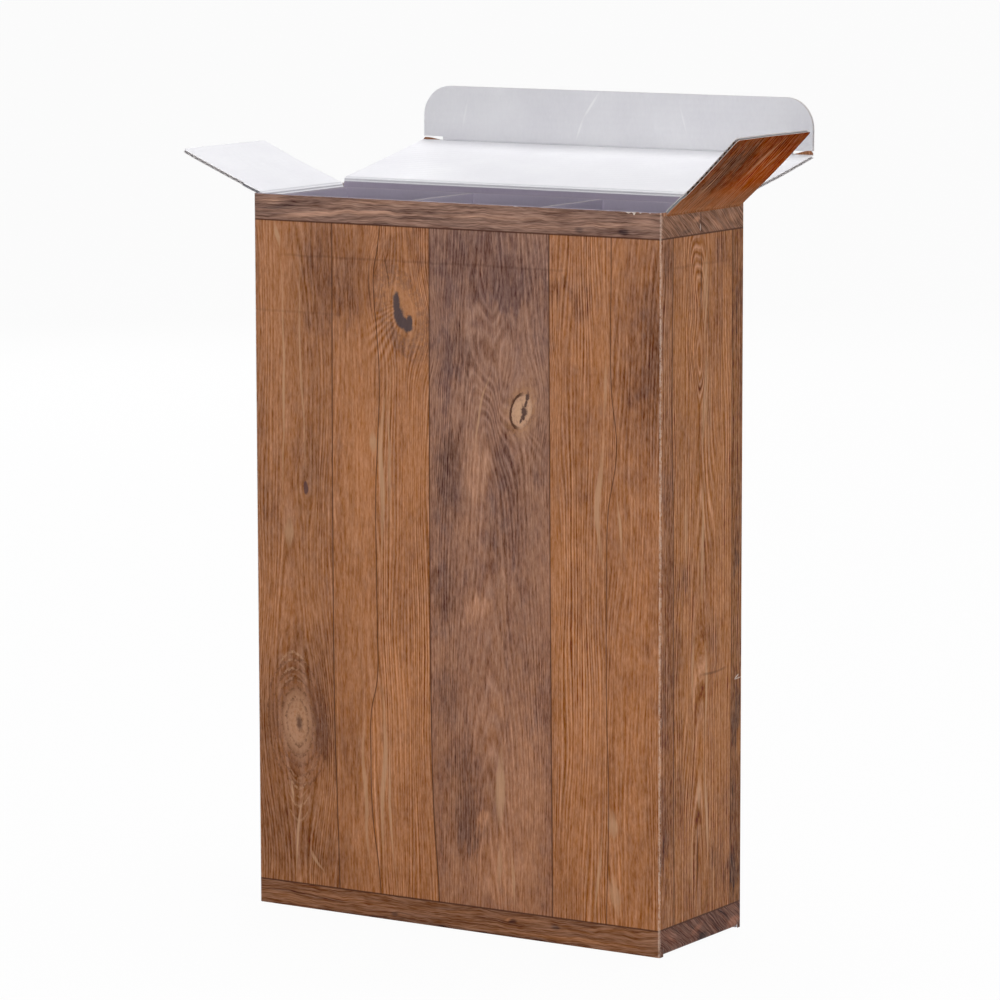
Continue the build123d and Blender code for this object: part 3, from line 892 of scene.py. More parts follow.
def drawnArt(seed, half, low, high, plankCount, knotCount, bands=(), folds=()):
    draw = np.random.default_rng(seed)
    tall, wide = high - low, 2 * half / plankCount
    heights = np.linspace(low, high, 5).tolist()
    edges, planks, patches, streaks, knots = [], [], [], [], []
    for k in range(1, plankCount):
        middle = -half + wide * (k + draw.uniform(-0.12, 0.12))
        places = (middle + draw.uniform(-0.7, 0.7, 5)).tolist()
        edges.append((hidden["jointHalf"], draw.uniform(0.6, 0.82), *zip(heights, places)))
    for k in range(plankCount):
        near = k % 2 == int(draw.integers(2))
        pith = -half + wide * (k + 0.5) + (draw.uniform(-8, 8) if near else draw.uniform(60, 120))
        planks.append((
            pith, low - draw.uniform(20, 120), draw.uniform(0.05, 0.12), draw.uniform(0.3, 0.46),
            draw.uniform(0.5, 1.0), draw.uniform(0.18, 0.6), draw.uniform(0.95, 1.03), hidden["grey"],
        ))
    for _ in range(int(tall * half / hidden["patchRoom"]) + 4):
        x, z = draw.uniform((-half, low), (half, high)).tolist()
        patches.append((
            x, z, draw.uniform(6, 16), draw.uniform(12, 46), 0, draw.uniform(-0.32, 0.36),
            draw.uniform(-0.16, 0.1),
        ))
    for _ in range(int(tall * half / hidden["streakRoom"]) + 3):
        x, z = draw.uniform((-half, low + 20), (half, high)).tolist()
        drift = draw.uniform(-2.5, 2.5, 4).cumsum().tolist()
        line = [(z - 16 * n * tall / 340, x + drift[n]) for n in range(4)]
        streaks.append((draw.uniform(0.4, 1.4), draw.uniform(0.3, 0.55), *line))
    for n in range(knotCount):
        foot, head = low + tall * (n + 0.2) / knotCount, low + tall * (n + 0.8) / knotCount
        x, z = draw.uniform((-half * 0.85, foot), (half * 0.85, head)).tolist()
        size = draw.uniform(3.5, 6.5)
        knots.append({
            "at": (x, z), "size": (size, size * 1.7), "tilt": draw.uniform(-20, 20), "pinch": 0.75,
            "pinchSize": (size * 4.2, size * 8), "halo": ((188, 128, 78), 2, 0.45),
            "arcs": (13, 0.5, 1.2, 0.3),
            "body": [(x, z, size * 0.42, size * 0.7, 8)], "bodyInk": (84, 58, 54),
        })
    return {
        "seed": seed, "edges": edges, "planks": planks, "patches": patches, "streaks": streaks,
        "knots": knots, "bands": bands, "folds": folds,
    }


# the bands of the front and side go on round the carton
bandPair = [
    {
        "high": 380, "rim": 354.9, "purple": 0.5, "light": 0.96, "inks": ((174, 138, 114), (108, 84, 76)),
        "patches": [(-20, 360, 30, 2, 2, -0.6, 0.1)],
    },
    {
        "rim": 13.8, "purple": 0.5, "light": 0.95, "inks": ((166, 114, 82), (102, 70, 56)),
        "patches": [(12, 6, 30, 2.4, -2, -0.5, 0.1)],
    },
]


def cornerWear(at):
    return [{"across": at * side, "half": 0.22, "amount": 0.55, "grit": (-0.2, 0.6)} for side in (-1, 1)]


backArt = drawnArt(41, 120.0, 12.0, 355.0, 5, 3, bandPair, cornerWear(119.6))
leftArt = drawnArt(57, 40.4, 12.0, 355.0, 3, 1, bandPair, cornerWear(40.0))
leftArt["bandTurn"] = sideArt["bandTurn"]
lidArt = drawnArt(63, 118.4, 366.0, 480.0, 5, 1)
baseArt = drawnArt(77, 118.0, -112.0, 4.0, 4, 1)


# White liner: nearly even, with slow clouds of tone, fine fibres, soft dents and the flutes' faint ribs, and,
# where given, white strokes painted as highlights along wrinkles
def paperMaterial(name, tone, shade, seed, rib=0.03, dent=0.12, fleck=0.0, creaseHighlights=()):
    paper, tree, shader = newMaterial(name, 0.62, 0.3)
    place = picturePlace(tree)
    u, v = split(place)
    cloud = noise(place, (1 / 42, 1 / 34), seed, 2.0)
    fibres = noise(place, (0.7, 0.3), seed + 1, 3.0, 0.65)
    surface = blended(ink(tone), ink(shade), held(cloud * 0.3 + fibres * 0.14 + 0.35))
    if fleck:
        flecks = smooth(noise(place, (0.8, 1.1), seed + 2, 3.0, 0.7), 0.5, 1.3)
        surface = blended(surface, ink((128, 96, 76)), flecks * fleck)
    # painted highlights: white strokes along wrinkles, where light would catch their ridges
    for *shape, amount in creaseHighlights:
        surface = blended(surface, ink((255, 255, 255)), spot(place, shape, 1.1, 0.2) * amount)
    tree.links.new(surface.socket, shader.inputs["Base Color"])
    dents = noise(place, (1 / 15, 1 / 22), seed + 3, 2.0, 0.55)
    bumped(shader, fluteRibs(v) * rib + dents * dent + fibres * 0.012, 0.7)
    return paper


frontPrint = printMaterial("frontPrint", frontArt)
sidePrint = printMaterial("sidePrint", sideArt)
backPrint = printMaterial("backPrint", backArt)
leftPrint = printMaterial("leftPrint", leftArt)
flapPrint = printMaterial("flapPrint", flapArt)
lidPrint = printMaterial("lidPrint", lidArt)
basePrint = printMaterial("basePrint", baseArt)
whitePaper = paperMaterial("whitePaper", (243, 243, 245), (229, 228, 233), 91)
# painted shade and highlights: a slightly greyer copy of whitePaper for the shade on the tuck flap, with white
# strokes painted along its wrinkles as highlights
shadedTuckPaper = paperMaterial("shadedTuckPaper", (241, 241, 243), (226, 225, 230), 92, creaseHighlights=(
    (13.7, 469, 0.9, 9.5, 35, 0.75), (20.7, 456.5, 0.8, 7, 21, 0.6), (-42, 463, 0.7, 8, -16, 0.4),
    (92, 462, 0.8, 9, 12, 0.4),
))
# painted shade: the walls' inner liner is the same white paper as whitePaper, greyed to lilac for the shade
# inside the carton
shadedInnerPaper = paperMaterial("shadedInnerPaper", (202, 193, 210), (184, 175, 194), 93)
# painted shade: the divider is white board, greyed to lilac for the shade down among its cells
shadedInsertPaper = paperMaterial("shadedInsertPaper", (216, 208, 222), (196, 188, 204), 95, rib=0.015)
cut = {"rib": 0.0, "dent": 0.02}
rawEdge = paperMaterial("rawEdge", (222, 212, 206), (168, 148, 134), 97, fleck=0.65, **cut)
flutedPaper = paperMaterial("flutedPaper", (220, 208, 194), (186, 168, 150), 99, fleck=0.25, **cut)
# painted light: a paler copy of the cut edge and fluted paper for the left dust flap, the lid and the tuck
# flap's flutes, so that these edges read lit where they lie in shade
litEdgePaper = paperMaterial("litEdgePaper", (240, 236, 234), (216, 208, 204), 98, fleck=0.2, **cut)
# painted shade: a darker copy of the fluted paper for the right dust flap, standing in for the shade in its
# flute holes
shadedFlutes = paperMaterial("shadedFlutes", (116, 88, 70), (70, 52, 42), 99, fleck=0.25, **cut)
print("materials made")


# A ply is a closed sheet between two distances from a surface grid:
# point = surface + normal * distance, with one quad per cell on either side and a strip round the rim.
def ply(surface, normal, under, over, mapping, outside, inside, edge):
    rows, columns = surface.shape[:2]
    top = surface + normal * np.broadcast_to(over, (rows, columns))[..., None]
    bottom = surface + normal * np.broadcast_to(under, (rows, columns))[..., None]
    points = np.concatenate([top.reshape(-1, 3), bottom.reshape(-1, 3)])
    number = np.arange(rows * columns).reshape(rows, columns)
    a, b = number[:-1, :-1], number[:-1, 1:]
    c, d = number[1:, 1:], number[1:, :-1]
    upper = np.stack([a, b, c, d], -1).reshape(-1, 4)
    lower = upper[:, ::-1] + rows * columns
    ring = np.concatenate([number[0, :], number[1:, -1], number[-1, -2::-1], number[-2:0:-1, 0]])
    following = np.roll(ring, -1)
    rim = np.stack([following, ring, ring + rows * columns, following + rows * columns], -1)
    faces = np.concatenate([upper, lower, rim])
    uv = mapping.reshape(-1, 2)[faces % (rows * columns)]
    slots = np.concatenate([
        np.broadcast_to(outside, (rows - 1, columns - 1)).reshape(-1),
        np.broadcast_to(inside, (rows - 1, columns - 1)).reshape(-1),
        np.full(len(rim), edge),
    ])
    return {"points": points, "faces": faces, "uv": uv, "slots": slots}


# A board's two liners: the outer one ends outer above the surface, the inner one ends inner under it.
def liners(surface, normal, outer, inner, liner, mapping, slots):
    outside, inside, edge = slots
    return [
        ply(surface, normal, outer - liner, outer, mapping, outside, inside, edge),
        ply(surface, normal, -inner, liner - inner, mapping, inside, inside, edge),
    ]


# Turns the picture over, from side to side, where side is -1.
def mirrored(plies, side=-1):
    for p in plies:
        p["uv"] = p["uv"] * np.array([side, 1.0])
    return plies


# Turns a closed ply's faces so that its volume is positive: the sum of a . (b x c) and a . (c x d) over them
def outward(p):
    a, b, c, d = (p["points"][p["faces"][:, k]] for k in range(4))
    volume = np.einsum("ij,ij->i", a, np.cross(b, c)).sum() + np.einsum("ij,ij->i", a, np.cross(c, d)).sum()
    if volume < 0:
        p["faces"], p["uv"] = p["faces"][:, ::-1], p["uv"][:, ::-1]
    return p


# Joins plies into one mesh object with its picture coordinates in metres.
def piece(name, plies, materials, sharp=35):
    plies = [outward(p) for p in plies]
    start = np.cumsum([0] + [len(p["points"]) for p in plies[:-1]])
    points = np.concatenate([p["points"] for p in plies]) * metre
    faces = np.concatenate([p["faces"] + s for p, s in zip(plies, start)])
    uv = np.concatenate([p["uv"] for p in plies]) * metre
    slots = np.concatenate([p["slots"] for p in plies]).astype(np.int32)
    mesh = bpy.data.meshes.new(name)
    mesh.vertices.add(len(points))
    mesh.vertices.foreach_set("co", points.astype(np.float32).ravel())
    mesh.loops.add(faces.size)
    mesh.loops.foreach_set("vertex_index", faces.astype(np.int32).ravel())
    mesh.polygons.add(len(faces))
    mesh.polygons.foreach_set("loop_start", np.arange(0, faces.size, 4, dtype=np.int32))
    mesh.polygons.foreach_set("material_index", slots)
    layer = mesh.uv_layers.new(name="printMap")
    layer.data.foreach_set("uv", uv.astype(np.float32).ravel())
    mesh.update(calc_edges=True)
    mesh.validate()
    mesh.polygons.foreach_set("use_smooth", np.ones(len(mesh.polygons), bool))
    mesh.set_sharp_from_angle(angle=math.radians(sharp))
    for material in materials:
        mesh.materials.append(material)
    made = bpy.data.objects.new(name, mesh)
    bpy.context.scene.collection.objects.link(made)
    return made


# even places from start to end, none more than step apart
def spread(start, end, step):
    return np.linspace(start, end, max(2, int(math.ceil(abs(end - start) / step)) + 1))


# e to the power of minus (distance from the middle / width) squared
def bell(x, middle, width):
    return np.exp(-(((x - middle) / width) ** 2))


# 0 before start, 1 after end, and t squared times (3 - 2 t) between
def ease(x, start, end):
    t = np.clip((x - start) / (end - start), 0, 1)
    return t * t * (3 - 2 * t)


# A smooth random surface: the mean of a few sine waves of seeded direction, length and phase.
def ripple(a, b, seed, waves=5):
    draw = np.random.default_rng(seed)
    total = 0.0
    for _ in range(waves):
        angle, phase = draw.uniform(0, 2 * math.pi, 2)
        rate = draw.uniform(0.5, 1.6)
        total = total + np.sin(rate * (math.cos(angle) * a + math.sin(angle) * b) * 2 * math.pi + phase)
    return total / waves


# The four walls, numbered from the front round by the right
wall = {
    "names": ("front", "right", "back", "left"),
    "side": 3.2,           # steps along the outline
    "front": 2.0,
    "back": 4.0,
    "cut": 0.04,           # half the step at a cut across the outline
    "bowedHalf": (118.1, 38.5),
    "bowedTop": 365.0,
    "rimHalf": 118.2,
    # where the front wall's upper edge is nicked: place, width and depth
    "nicks": (
        (104.6, 0.7, 1.5), (101.4, 1.4, 0.7), (108.2, 0.6, 0.6), (113.5, 0.5, 0.35), (-88, 0.8, 0.3),
        (37, 1.1, 0.25),
    ),
    "fluteReach": 13.5,    # how far down the fluted paper goes, and how far under the edge it starts
    "fluteShort": 0.35,
    "fluteStart": 1.2,
}
nickedPart = np.linspace(98, 116, 73)
wallRows = np.concatenate([[0, 0.002, 0.006], np.linspace(0.012, 0.988, 62), [0.994, 0.998, 1]])


# An outline of the carton from the seam round to the seam: points, outward normals, the wall's number and
# the place across it. A corner is a quarter circle; its first half belongs to the wall before it.
def wallLine(inset, radius):
    w, d, r = carton["halfWidth"] - inset, carton["halfDepth"] - inset, radius
    shoulder, foot = carton["shoulder"] - carton["besideFlap"], carton["sideFootHalf"]
    arc = np.linspace(0, math.pi / 2, 9)[1:-1]

    def steps(values, *places):
        extra = [p + s for p in places for s in (-wall["cut"], wall["cut"])]
        return np.unique(np.concatenate([values, extra]))

    left = steps(spread(-d + r, carton["seam"], wall["side"]), shoulder, foot, -foot)[::-1]
    right = steps(spread(-d + r, d - r, wall["side"]), shoulder, foot, -foot)
    front = np.unique(np.concatenate([spread(-w + r, w - r, wall["front"]), nickedPart]))
    back = steps(spread(-w + r, w - r, wall["back"]), carton["backFootHalf"], -carton["backFootHalf"])[::-1]
    points, normals, numbers, across = [], [], [], []

    def straight(xs, ys, normal, number, place):
        points.append(np.stack([xs, ys], -1))
        normals.append(np.tile(normal, (len(xs), 1)))
        numbers.append(np.full(len(xs), number))
        across.append(place)

    def corner(cx, cy, start, before, after, uBefore, uAfter):
        direction = np.stack([np.cos(start + arc), np.sin(start + arc)], -1)
        points.append(np.array([cx, cy]) + r * direction)
        normals.append(direction)
        first = arc <= math.pi / 4 + 1e-9
        numbers.append(np.where(first, before, after))
        across.append(np.where(first, uBefore + r * arc, uAfter - r * (math.pi / 2 - arc)))

    straight(np.full(len(left), -w), left, (-1.0, 0.0), 3, -left)
    corner(-w + r, -d + r, math.pi, 3, 0, d - r, -w + r)
    straight(front, np.full(len(front), -d), (0.0, -1.0), 0, front)
    corner(w - r, -d + r, 1.5 * math.pi, 0, 1, w - r, -d + r)
    straight(np.full(len(right), w), right, (1.0, 0.0), 1, right)
    corner(w - r, d - r, 0.0, 1, 2, d - r, -w + r)
    straight(back, np.full(len(back), d), (0.0, 1.0), 2, -back)
    corner(-w + r, d - r, math.pi / 2, 2, 3, w - r, -d + r)
    last = np.array([max(d - r, carton["seam"] + 0.3)])
    straight(np.array([-w]), last, (-1.0, 0.0), 3, np.array([-d + r]))
    return tuple(np.concatenate(v) for v in (points, normals, numbers, across))


# Lower and upper end of the board at each place of the outline.
def wallEdges(outline):
    line, normal, number, across = outline
    x, y = line[:, 0], line[:, 1]
    upper = np.full(len(x), carton["front"])
    lower = np.full(len(x), carton["foot"])
    stop, gap = board["foldStop"], carton["besideFlap"]
    onSide = ((number == 1) | (number == 3)) & (np.abs(normal[:, 1]) < 1e-6)
    flapSpan = onSide & (y > carton["shoulder"] - gap) & (y < carton["flapRear"] + gap)
    upper = np.where(flapSpan, carton["sideFold"][1] - stop, upper)
    lower = np.where(onSide & (np.abs(y) < carton["sideFootHalf"]), carton["sideFoot"], lower)
    onBack = (number == 2) & (np.abs(normal[:, 0]) < 1e-6)
    upper = np.where(onBack, carton["lidFold"][1] - stop, upper)
    lower = np.where(onBack & (np.abs(x) < carton["backFootHalf"]), carton["backFoot"], lower)
    return lower, upper


# How far a wall stands proud: (1 - across squared) * sine of the height, to the power 0.7, * its bulge and
# a waver, so it is highest in its middle and nothing at its corners and its folded ends.
def wallBulge(outline, height):
    line, normal, number, across = outline
    x, y = line[:, 0][:, None], line[:, 1][:, None]
    wide, deep = wall["bowedHalf"]
    along = np.where((number == 0) | (number == 2), line[:, 0] / wide, line[:, 1] / deep)[:, None]
    tall = np.sin(np.pi * np.clip(height / wall["bowedTop"], 0, 1)) ** 0.7
    size = np.array([carton["bulge"][wall["names"][n]] for n in number])[:, None]
    waver = 0.12 * ripple(x / 150 + 3, height / 170, 4) + 0.08 * ripple(y / 60, height / 110, 9)
    return np.clip(1 - along**2, 0, 1) * tall * (size + waver)


# The outline carried up from lower to upper at each of its places: height = lower + (upper - lower) * row
def wallSurface(outline, lower, upper, rows):
    line, normal, number, across = outline
    height = lower[:, None] + (upper - lower)[:, None] * rows[None, :]
    points = np.concatenate([np.repeat(line[:, None, :], len(rows), 1), height[..., None]], -1)
    normals = np.concatenate([np.repeat(normal[:, None, :], len(rows), 1), np.zeros(height.shape + (1,))], -1)
    mapping = np.stack([np.repeat(across[:, None], len(rows), 1), height], -1)
    return points, normals, height, mapping


# A cell that starts on one wall and ends on the next takes the second wall's own places at both ends.
def splitCorners(made, outline, rowCount):
    line, normal, number, across = outline
    cells = np.arange((len(line) - 1) * (rowCount - 1)).reshape(len(line) - 1, rowCount - 1)
    for i in np.nonzero(number[1:] != number[:-1])[0]:
        start = across[i + 1] - np.linalg.norm(line[i + 1] - line[i])
        rim = made["uv"][cells[i]]
        rim[..., 0] = np.where(made["faces"][cells[i]] // rowCount == i, start, rim[..., 0])
        made["uv"][cells[i]] = rim


# One liner of the walls. The front wall's upper edge is worn in small ripples, and the printed liner is nicked.
def wallLiner(outline, printed):
    line, normal, number, across = outline
    lower, upper = wallEdges(outline)
    x = line[:, 0]
    onFront = np.where((number == 0) & (np.abs(x) < wall["rimHalf"]), 1.0, 0.0)
    if printed:
        nick = sum(depth * bell(x, place, width) for place, width, depth in wall["nicks"])
        worn = 0.1 * ripple(x / 9.0, x * 0, 12, 7) + 0.06 * ripple(x / 2.3, x * 0, 15, 7) - 0.15 - nick
    else:
        worn = 0.08 * ripple(x / 11.0, x * 0, 21, 7) + 0.02
    points, normals, height, mapping = wallSurface(outline, lower, upper + onFront * worn, wallRows)
    bulge = wallBulge(outline, height)
    if not printed:
        return ply(points, normals, bulge, bulge + board["liner"], mapping, 4, 4, 5)
    slots = np.repeat(number[1:][:, None], len(wallRows) - 1, 1)
    liner = ply(points, normals, bulge - board["liner"], bulge, mapping, slots, 4, 5)
    splitCorners(liner, outline, len(wallRows))
    return liner


outerLiner = wallLiner(wallLine(0.0, carton["corner"]), True)
innerLiner = wallLiner(wallLine(board["thick"], carton["innerCorner"]), False)
cartonWalls = piece(
    "carton_walls", [outerLiner, innerLiner],
    [frontPrint, sidePrint, backPrint, leftPrint, shadedInnerPaper, rawEdge], sharp=40,
)
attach(cartonWalls, "carton")
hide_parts("carton_body")
print("walls made:", len(cartonWalls.data.polygons))


# The fluted paper between the walls' liners, seen in the front wall's upper edge: a wave up the wall,
# distance from the board's middle = depth * sin(height / pitch)
def wallFlutes():
    middleLine = wallLine(halfBoard, (carton["corner"] + carton["innerCorner"]) / 2)
    lower, upper = wallEdges(middleLine)
    rows = np.linspace(0, 1, 46)
    start, end = upper - wall["fluteReach"], upper - wall["fluteShort"]
    points, normals, height, mapping = wallSurface(middleLine, start, end, rows)
    wave = fluteDepth * np.sin(2 * np.pi * (height - wall["fluteStart"]) / board["pitch"])
    middle = wallBulge(middleLine, height) + wave
    return ply(points, normals, middle - halfMedium, middle + halfMedium, mapping, 0, 0, 0)


fluteStrip = piece("wall_flutes", [wallFlutes()], [flutedPaper], sharp=60)
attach(fluteStrip, "carton")
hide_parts("carton_body")


# A flap's middle line and normal in section: straight, round a small arc at the fold, and straight again.
# along is the distance from the fold, negative on the panel that carries the flap. That panel runs along +x
# up to the fold at (0, 0), and the flap leaves it turned by turn radians to the left, where the normal is.
def foldedSection(along, turn):
    r, size, sense = board["foldRadius"], abs(turn), math.copysign(1, turn)
    arc = r * size / 2
    angle = np.clip((along + arc) / (2 * arc), 0, 1) * size
    before, after = np.minimum(along + arc, 0), np.maximum(along - arc, 0)
    x = r * (np.sin(angle) - math.tan(size / 2)) + before + after * math.cos(size)
    y = (r * (1 - np.cos(angle)) + after * math.sin(size)) * sense
    return np.stack([x, y], -1), np.stack([-np.sin(angle) * sense, np.cos(angle)], -1)


# Half the board's thickness: thin in the pressed line, full from the fold's end on.
def halfThickness(along):
    thin = board["pressed"]
    return thin + (halfBoard - thin) * ease(np.abs(along), board["neck"], board["foldStop"])


# Outer liner, inner liner and fluted paper of a flap, whose surface is place + warp at each distance from
# the fold and place across. low and high give its width at each distance, bead how far the printed liner
# buckles at the fold.
def flapPlies(along, low, high, columns, place, warp, blankHeight, flutesFrom, flutesTo, bead=0.0, ribs=25):
    def grid(rows, start, end, count):
        across = start[:, None] + (end - start)[:, None] * np.linspace(0, 1, count)[None, :]
        far = np.repeat(rows[:, None], count, 1)
        points, normals = place(far, across)
        return across, far, points + warp(far, across), normals

    across, far, points, normals = grid(along, low, high, columns)
    half = halfThickness(far)
    mapping = np.stack([across, blankHeight + far], -1)
    liner = np.minimum(board["liner"], half * 0.75)
    crinkle = 1 + 0.35 * ripple(across / 5.0, far * 0, 61, 9) + 0.25 * ripple(across / 1.7, far * 0, 62, 9)
    buckled = half + bead * crinkle * bell(far, 0.15, 0.75)
    made = liners(points, normals, buckled, half, liner, mapping, (0, 1, 2))
    dense = np.arange(flutesFrom, flutesTo, board["pitch"] / 12)
    start = np.interp(dense, along, low) + board["fluteInset"]
    end = np.interp(dense, along, high) - board["fluteInset"]
    across, far, points, normals = grid(dense, start, end, ribs)
    wave = fluteDepth * np.sin(2 * np.pi * (far - flutesFrom) / board["pitch"])
    mapping = np.stack([across, far], -1)
    made.append(ply(points, normals, wave - halfMedium, wave + halfMedium, mapping, 3, 3, 3))
    return made


# The distances from the fold at which every flap has a row across its pressed line
pressedRows = np.linspace(-board["foldStop"], board["foldStop"], 29)


# How far a rounded end comes in at each distance: radius - root of (radius squared - past squared),
# where past is the distance beyond the start of the round
def roundedEnd(rows, length, radius):
    past = np.maximum(rows - (length - radius), 0)
    return radius - np.sqrt(np.maximum(radius**2 - past**2, 0))


# Dust flaps
dustFlap = {
    "length": 53.7,
    "shoulderLength": 11.7,
    "shoulderStep": 1.3,
    "tipCorner": 2.0,
    "rise": {"left": 22.3, "right": 43.8},
    "bow": {"left": -0.5, "right": -0.6},
    "bead": 0.55,          # how far the printed liner buckles out along the fold
}


# Distances from the fold, and the flap's front and rear end at each. It steps in at the shoulder.
def dustFlapRows():
    length, corner = dustFlap["length"], dustFlap["tipCorner"]
    shoulder, step = dustFlap["shoulderLength"], dustFlap["shoulderStep"]
    flat = spread(board["foldStop"], length - corner, 2.4)[1:]
    tip = length - corner + corner * np.sin(np.linspace(0, math.pi / 2, 7))[1:]
    rows = np.unique(np.concatenate([pressedRows, flat, [shoulder, shoulder + step], tip]))
    low = carton["shoulder"] + step * np.clip((rows - shoulder) / step, 0, 1)
    inward = roundedEnd(rows, length, corner)
    return rows, low + inward, carton["flapRear"] - inward


# side is -1 for the left flap. The section's x runs up the wall and its left-hand normal points into the
# carton. The flap is bowed by bow * sin(pi * t), where t is 0 at the fold and 1 at the tip, and wavers by
# up to 0.25 mm.
def makeDustFlap(name, side, edges, flutes):
    label = "left" if side < 0 else "right"
    rise = math.radians(dustFlap["rise"][label])
    turn = math.pi / 2 - rise
    foldX, foldZ = carton["sideFold"]
    rows, low, high = dustFlapRows()

    def place(far, across):
        flat, normal = foldedSection(far, -turn)
        points = np.stack([side * (foldX - flat[..., 1]), across, foldZ + flat[..., 0]], -1)
        normals = np.stack([side * normal[..., 1], across * 0, -normal[..., 0]], -1)
        return points, normals

    def warp(far, across):
        t = np.clip((far - board["foldStop"]) / (dustFlap["length"] - board["foldStop"]), 0, 1)
        lift = dustFlap["bow"][label] * np.sin(np.pi * t)
        lift = lift + 0.25 * t * ripple(across / 70 + side, far / 50, 31)
        up = np.array([-side * math.sin(rise), 0, math.cos(rise)])
        return lift[..., None] * up

    made = flapPlies(
        rows, low, high, 25, place, warp, foldZ,
        flutesFrom=dustFlap["shoulderLength"] + dustFlap["shoulderStep"] + 0.2,
        flutesTo=dustFlap["length"] - 0.3, bead=dustFlap["bead"],
    )
    flap = piece(name, mirrored(made, side), [flapPrint, whitePaper, edges, flutes])
    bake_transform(flap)
    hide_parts("dust_flap_left" if side < 0 else "dust_flap_right")


makeDustFlap("left_dust_flap", -1, litEdgePaper, litEdgePaper)
makeDustFlap("right_dust_flap", 1, rawEdge, shadedFlutes)
print("dust flaps made")


# Lid and tuck flap
lid = {
    "length": 77.3,
    "rise": 11.5,
    "tuckHeight": 29.3,
    "tuckHalf": 117.9,
    "tuckCorner": 16.0,
    "tuckTurn": 78.5,
    "slitInner": 105.9,
    "slitOpening": 2.4,
    "lip": {-1: 1.38, 1: 2.3},     # the raised lips at the lid's left and right end
    "lipEnd": 118.2,
    "lipHalf": 0.12,
    "bow": -0.9,
    "tuckBow": -0.7,
}
lidRise = math.radians(lid["rise"])
tuckAngle = math.radians(lid["rise"] + lid["tuckTurn"])
lidReach = np.array([0, math.cos(lidRise), math.sin(lidRise)])
lidUp = np.array([0, -math.sin(lidRise), math.cos(lidRise)])
lidFold = np.array([0, *carton["lidFold"]])
tuckFold = lidFold + lidReach * lid["length"]
tuckUp = np.array([0, -math.sin(tuckAngle), math.cos(tuckAngle)])


# The section's x runs up the back wall, and its left side is the carton's inside.
def lidPlace(far, across):
    flat, normal = foldedSection(far, lidRise - math.pi / 2)
    points = np.stack([across, lidFold[1] - flat[..., 1], lidFold[2] + flat[..., 0]], -1)
    normals = np.stack([across * 0, normal[..., 1], -normal[..., 0]], -1)
    return points, normals


# bow * sin(pi * t), less towards the lid's sides, and a slow waver
def lidWarp(far, across):
    stop = board["foldStop"]
    t = np.clip((far - stop) / (lid["length"] - 2 * stop), 0, 1)
    wide = 1 - (across / carton["lidHalf"]) ** 2
    lift = lid["bow"] * np.sin(np.pi * t) * (0.35 + 0.65 * wide)
    lift = lift + 0.3 * np.sin(np.pi * t) * ripple(across / 120, far / 60, 44)
    return lift[..., None] * lidUp


# The lid's board. Beside each slit its end is a plain cut with a raised lip.
def makeLid():
    stop = board["foldStop"]
    end = lid["length"] - stop
    rows = np.unique(np.concatenate([pressedRows, spread(stop, end, 2.5)]))
    half = np.full(len(rows), carton["lidHalf"])
    made = flapPlies(
        rows, -half, half, 61, lidPlace, lidWarp, carton["lidFold"][1], flutesFrom=stop, flutesTo=end,
    )
    cutEnd = end + stop - board["neck"]
    for side in (-1, 1):
        # beside the slits the lid's end is a plain cut
        low, high = sorted((side * lid["slitInner"], side * carton["lidHalf"]))
        far, wide = np.meshgrid([end, end + 0.45, cutEnd], np.linspace(low, high, 7), indexing="ij")
        points, normals = lidPlace(far, wide)
        mapping = np.stack([wide, carton["lidFold"][1] + far], -1)
        made += liners(points, normals, halfBoard, halfBoard, board["liner"], mapping, (0, 1, 2))
        # the slit's blade turned up a thin lip of the printed liner: it rises towards the lid's side,
        # drops again at its very end, and leans out by the square of its height
        t, lean = np.linspace(0, 1, 13), np.linspace(0, 1, 4)
        rise = lid["lip"][side] * (0.15 + 0.85 * ease(t, 0.0, 0.8)) * (1 - 0.5 * ease(t, 0.93, 1.0))
        across = np.linspace(side * lid["slitInner"], side * lid["lipEnd"], len(t))
        foot, _ = lidPlace(np.full(len(t), cutEnd - 0.2), across)
        lip = foot[:, None, :] + (rise[:, None] * lean[None, :])[..., None] * lidUp
        lip = lip + 0.35 * (lean**2)[None, :, None] * lidReach
        facing = np.broadcast_to(-lidReach, lip.shape)
        mapping = np.stack([lip[..., 0], lip[..., 2]], -1)
        made.append(ply(lip + 0.5 * lidUp, facing, -lid["lipHalf"], lid["lipHalf"], mapping, 0, 0, 2))
    panel = piece("lid_board", mirrored(made), [lidPrint, whitePaper, litEdgePaper, litEdgePaper])
    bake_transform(panel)
    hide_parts("lid_panel")


# The section's x runs out along the lid, and the tuck flap turns up to its left.
def tuckPlace(far, across):
    flat, normal = foldedSection(far, tuckAngle - lidRise)
    points = tuckFold + flat[..., :1] * lidReach + flat[..., 1:] * lidUp
    points = points + across[..., None] * np.array([1.0, 0, 0])
    normals = -(normal[..., :1] * lidReach + normal[..., 1:] * lidUp)
    return points, normals


# Bent back towards its corners by the squares of the height and the place across, with a slow waver and a
# low slanting ridge.
def tuckWarp(far, across):
    t = np.clip((far - board["foldStop"]) / (lid["tuckHeight"] - board["foldStop"]), 0, 1)
    lift = lid["tuckBow"] * t**2 * (across / 118) ** 2 + 0.35 * t * ripple(across / 110, far / 40, 52)
    ridge = 0.45 * bell(across, 28 - 9 * t, 1.8) * ease(t, 0.05, 0.3)
    return (lift + ridge)[..., None] * tuckUp


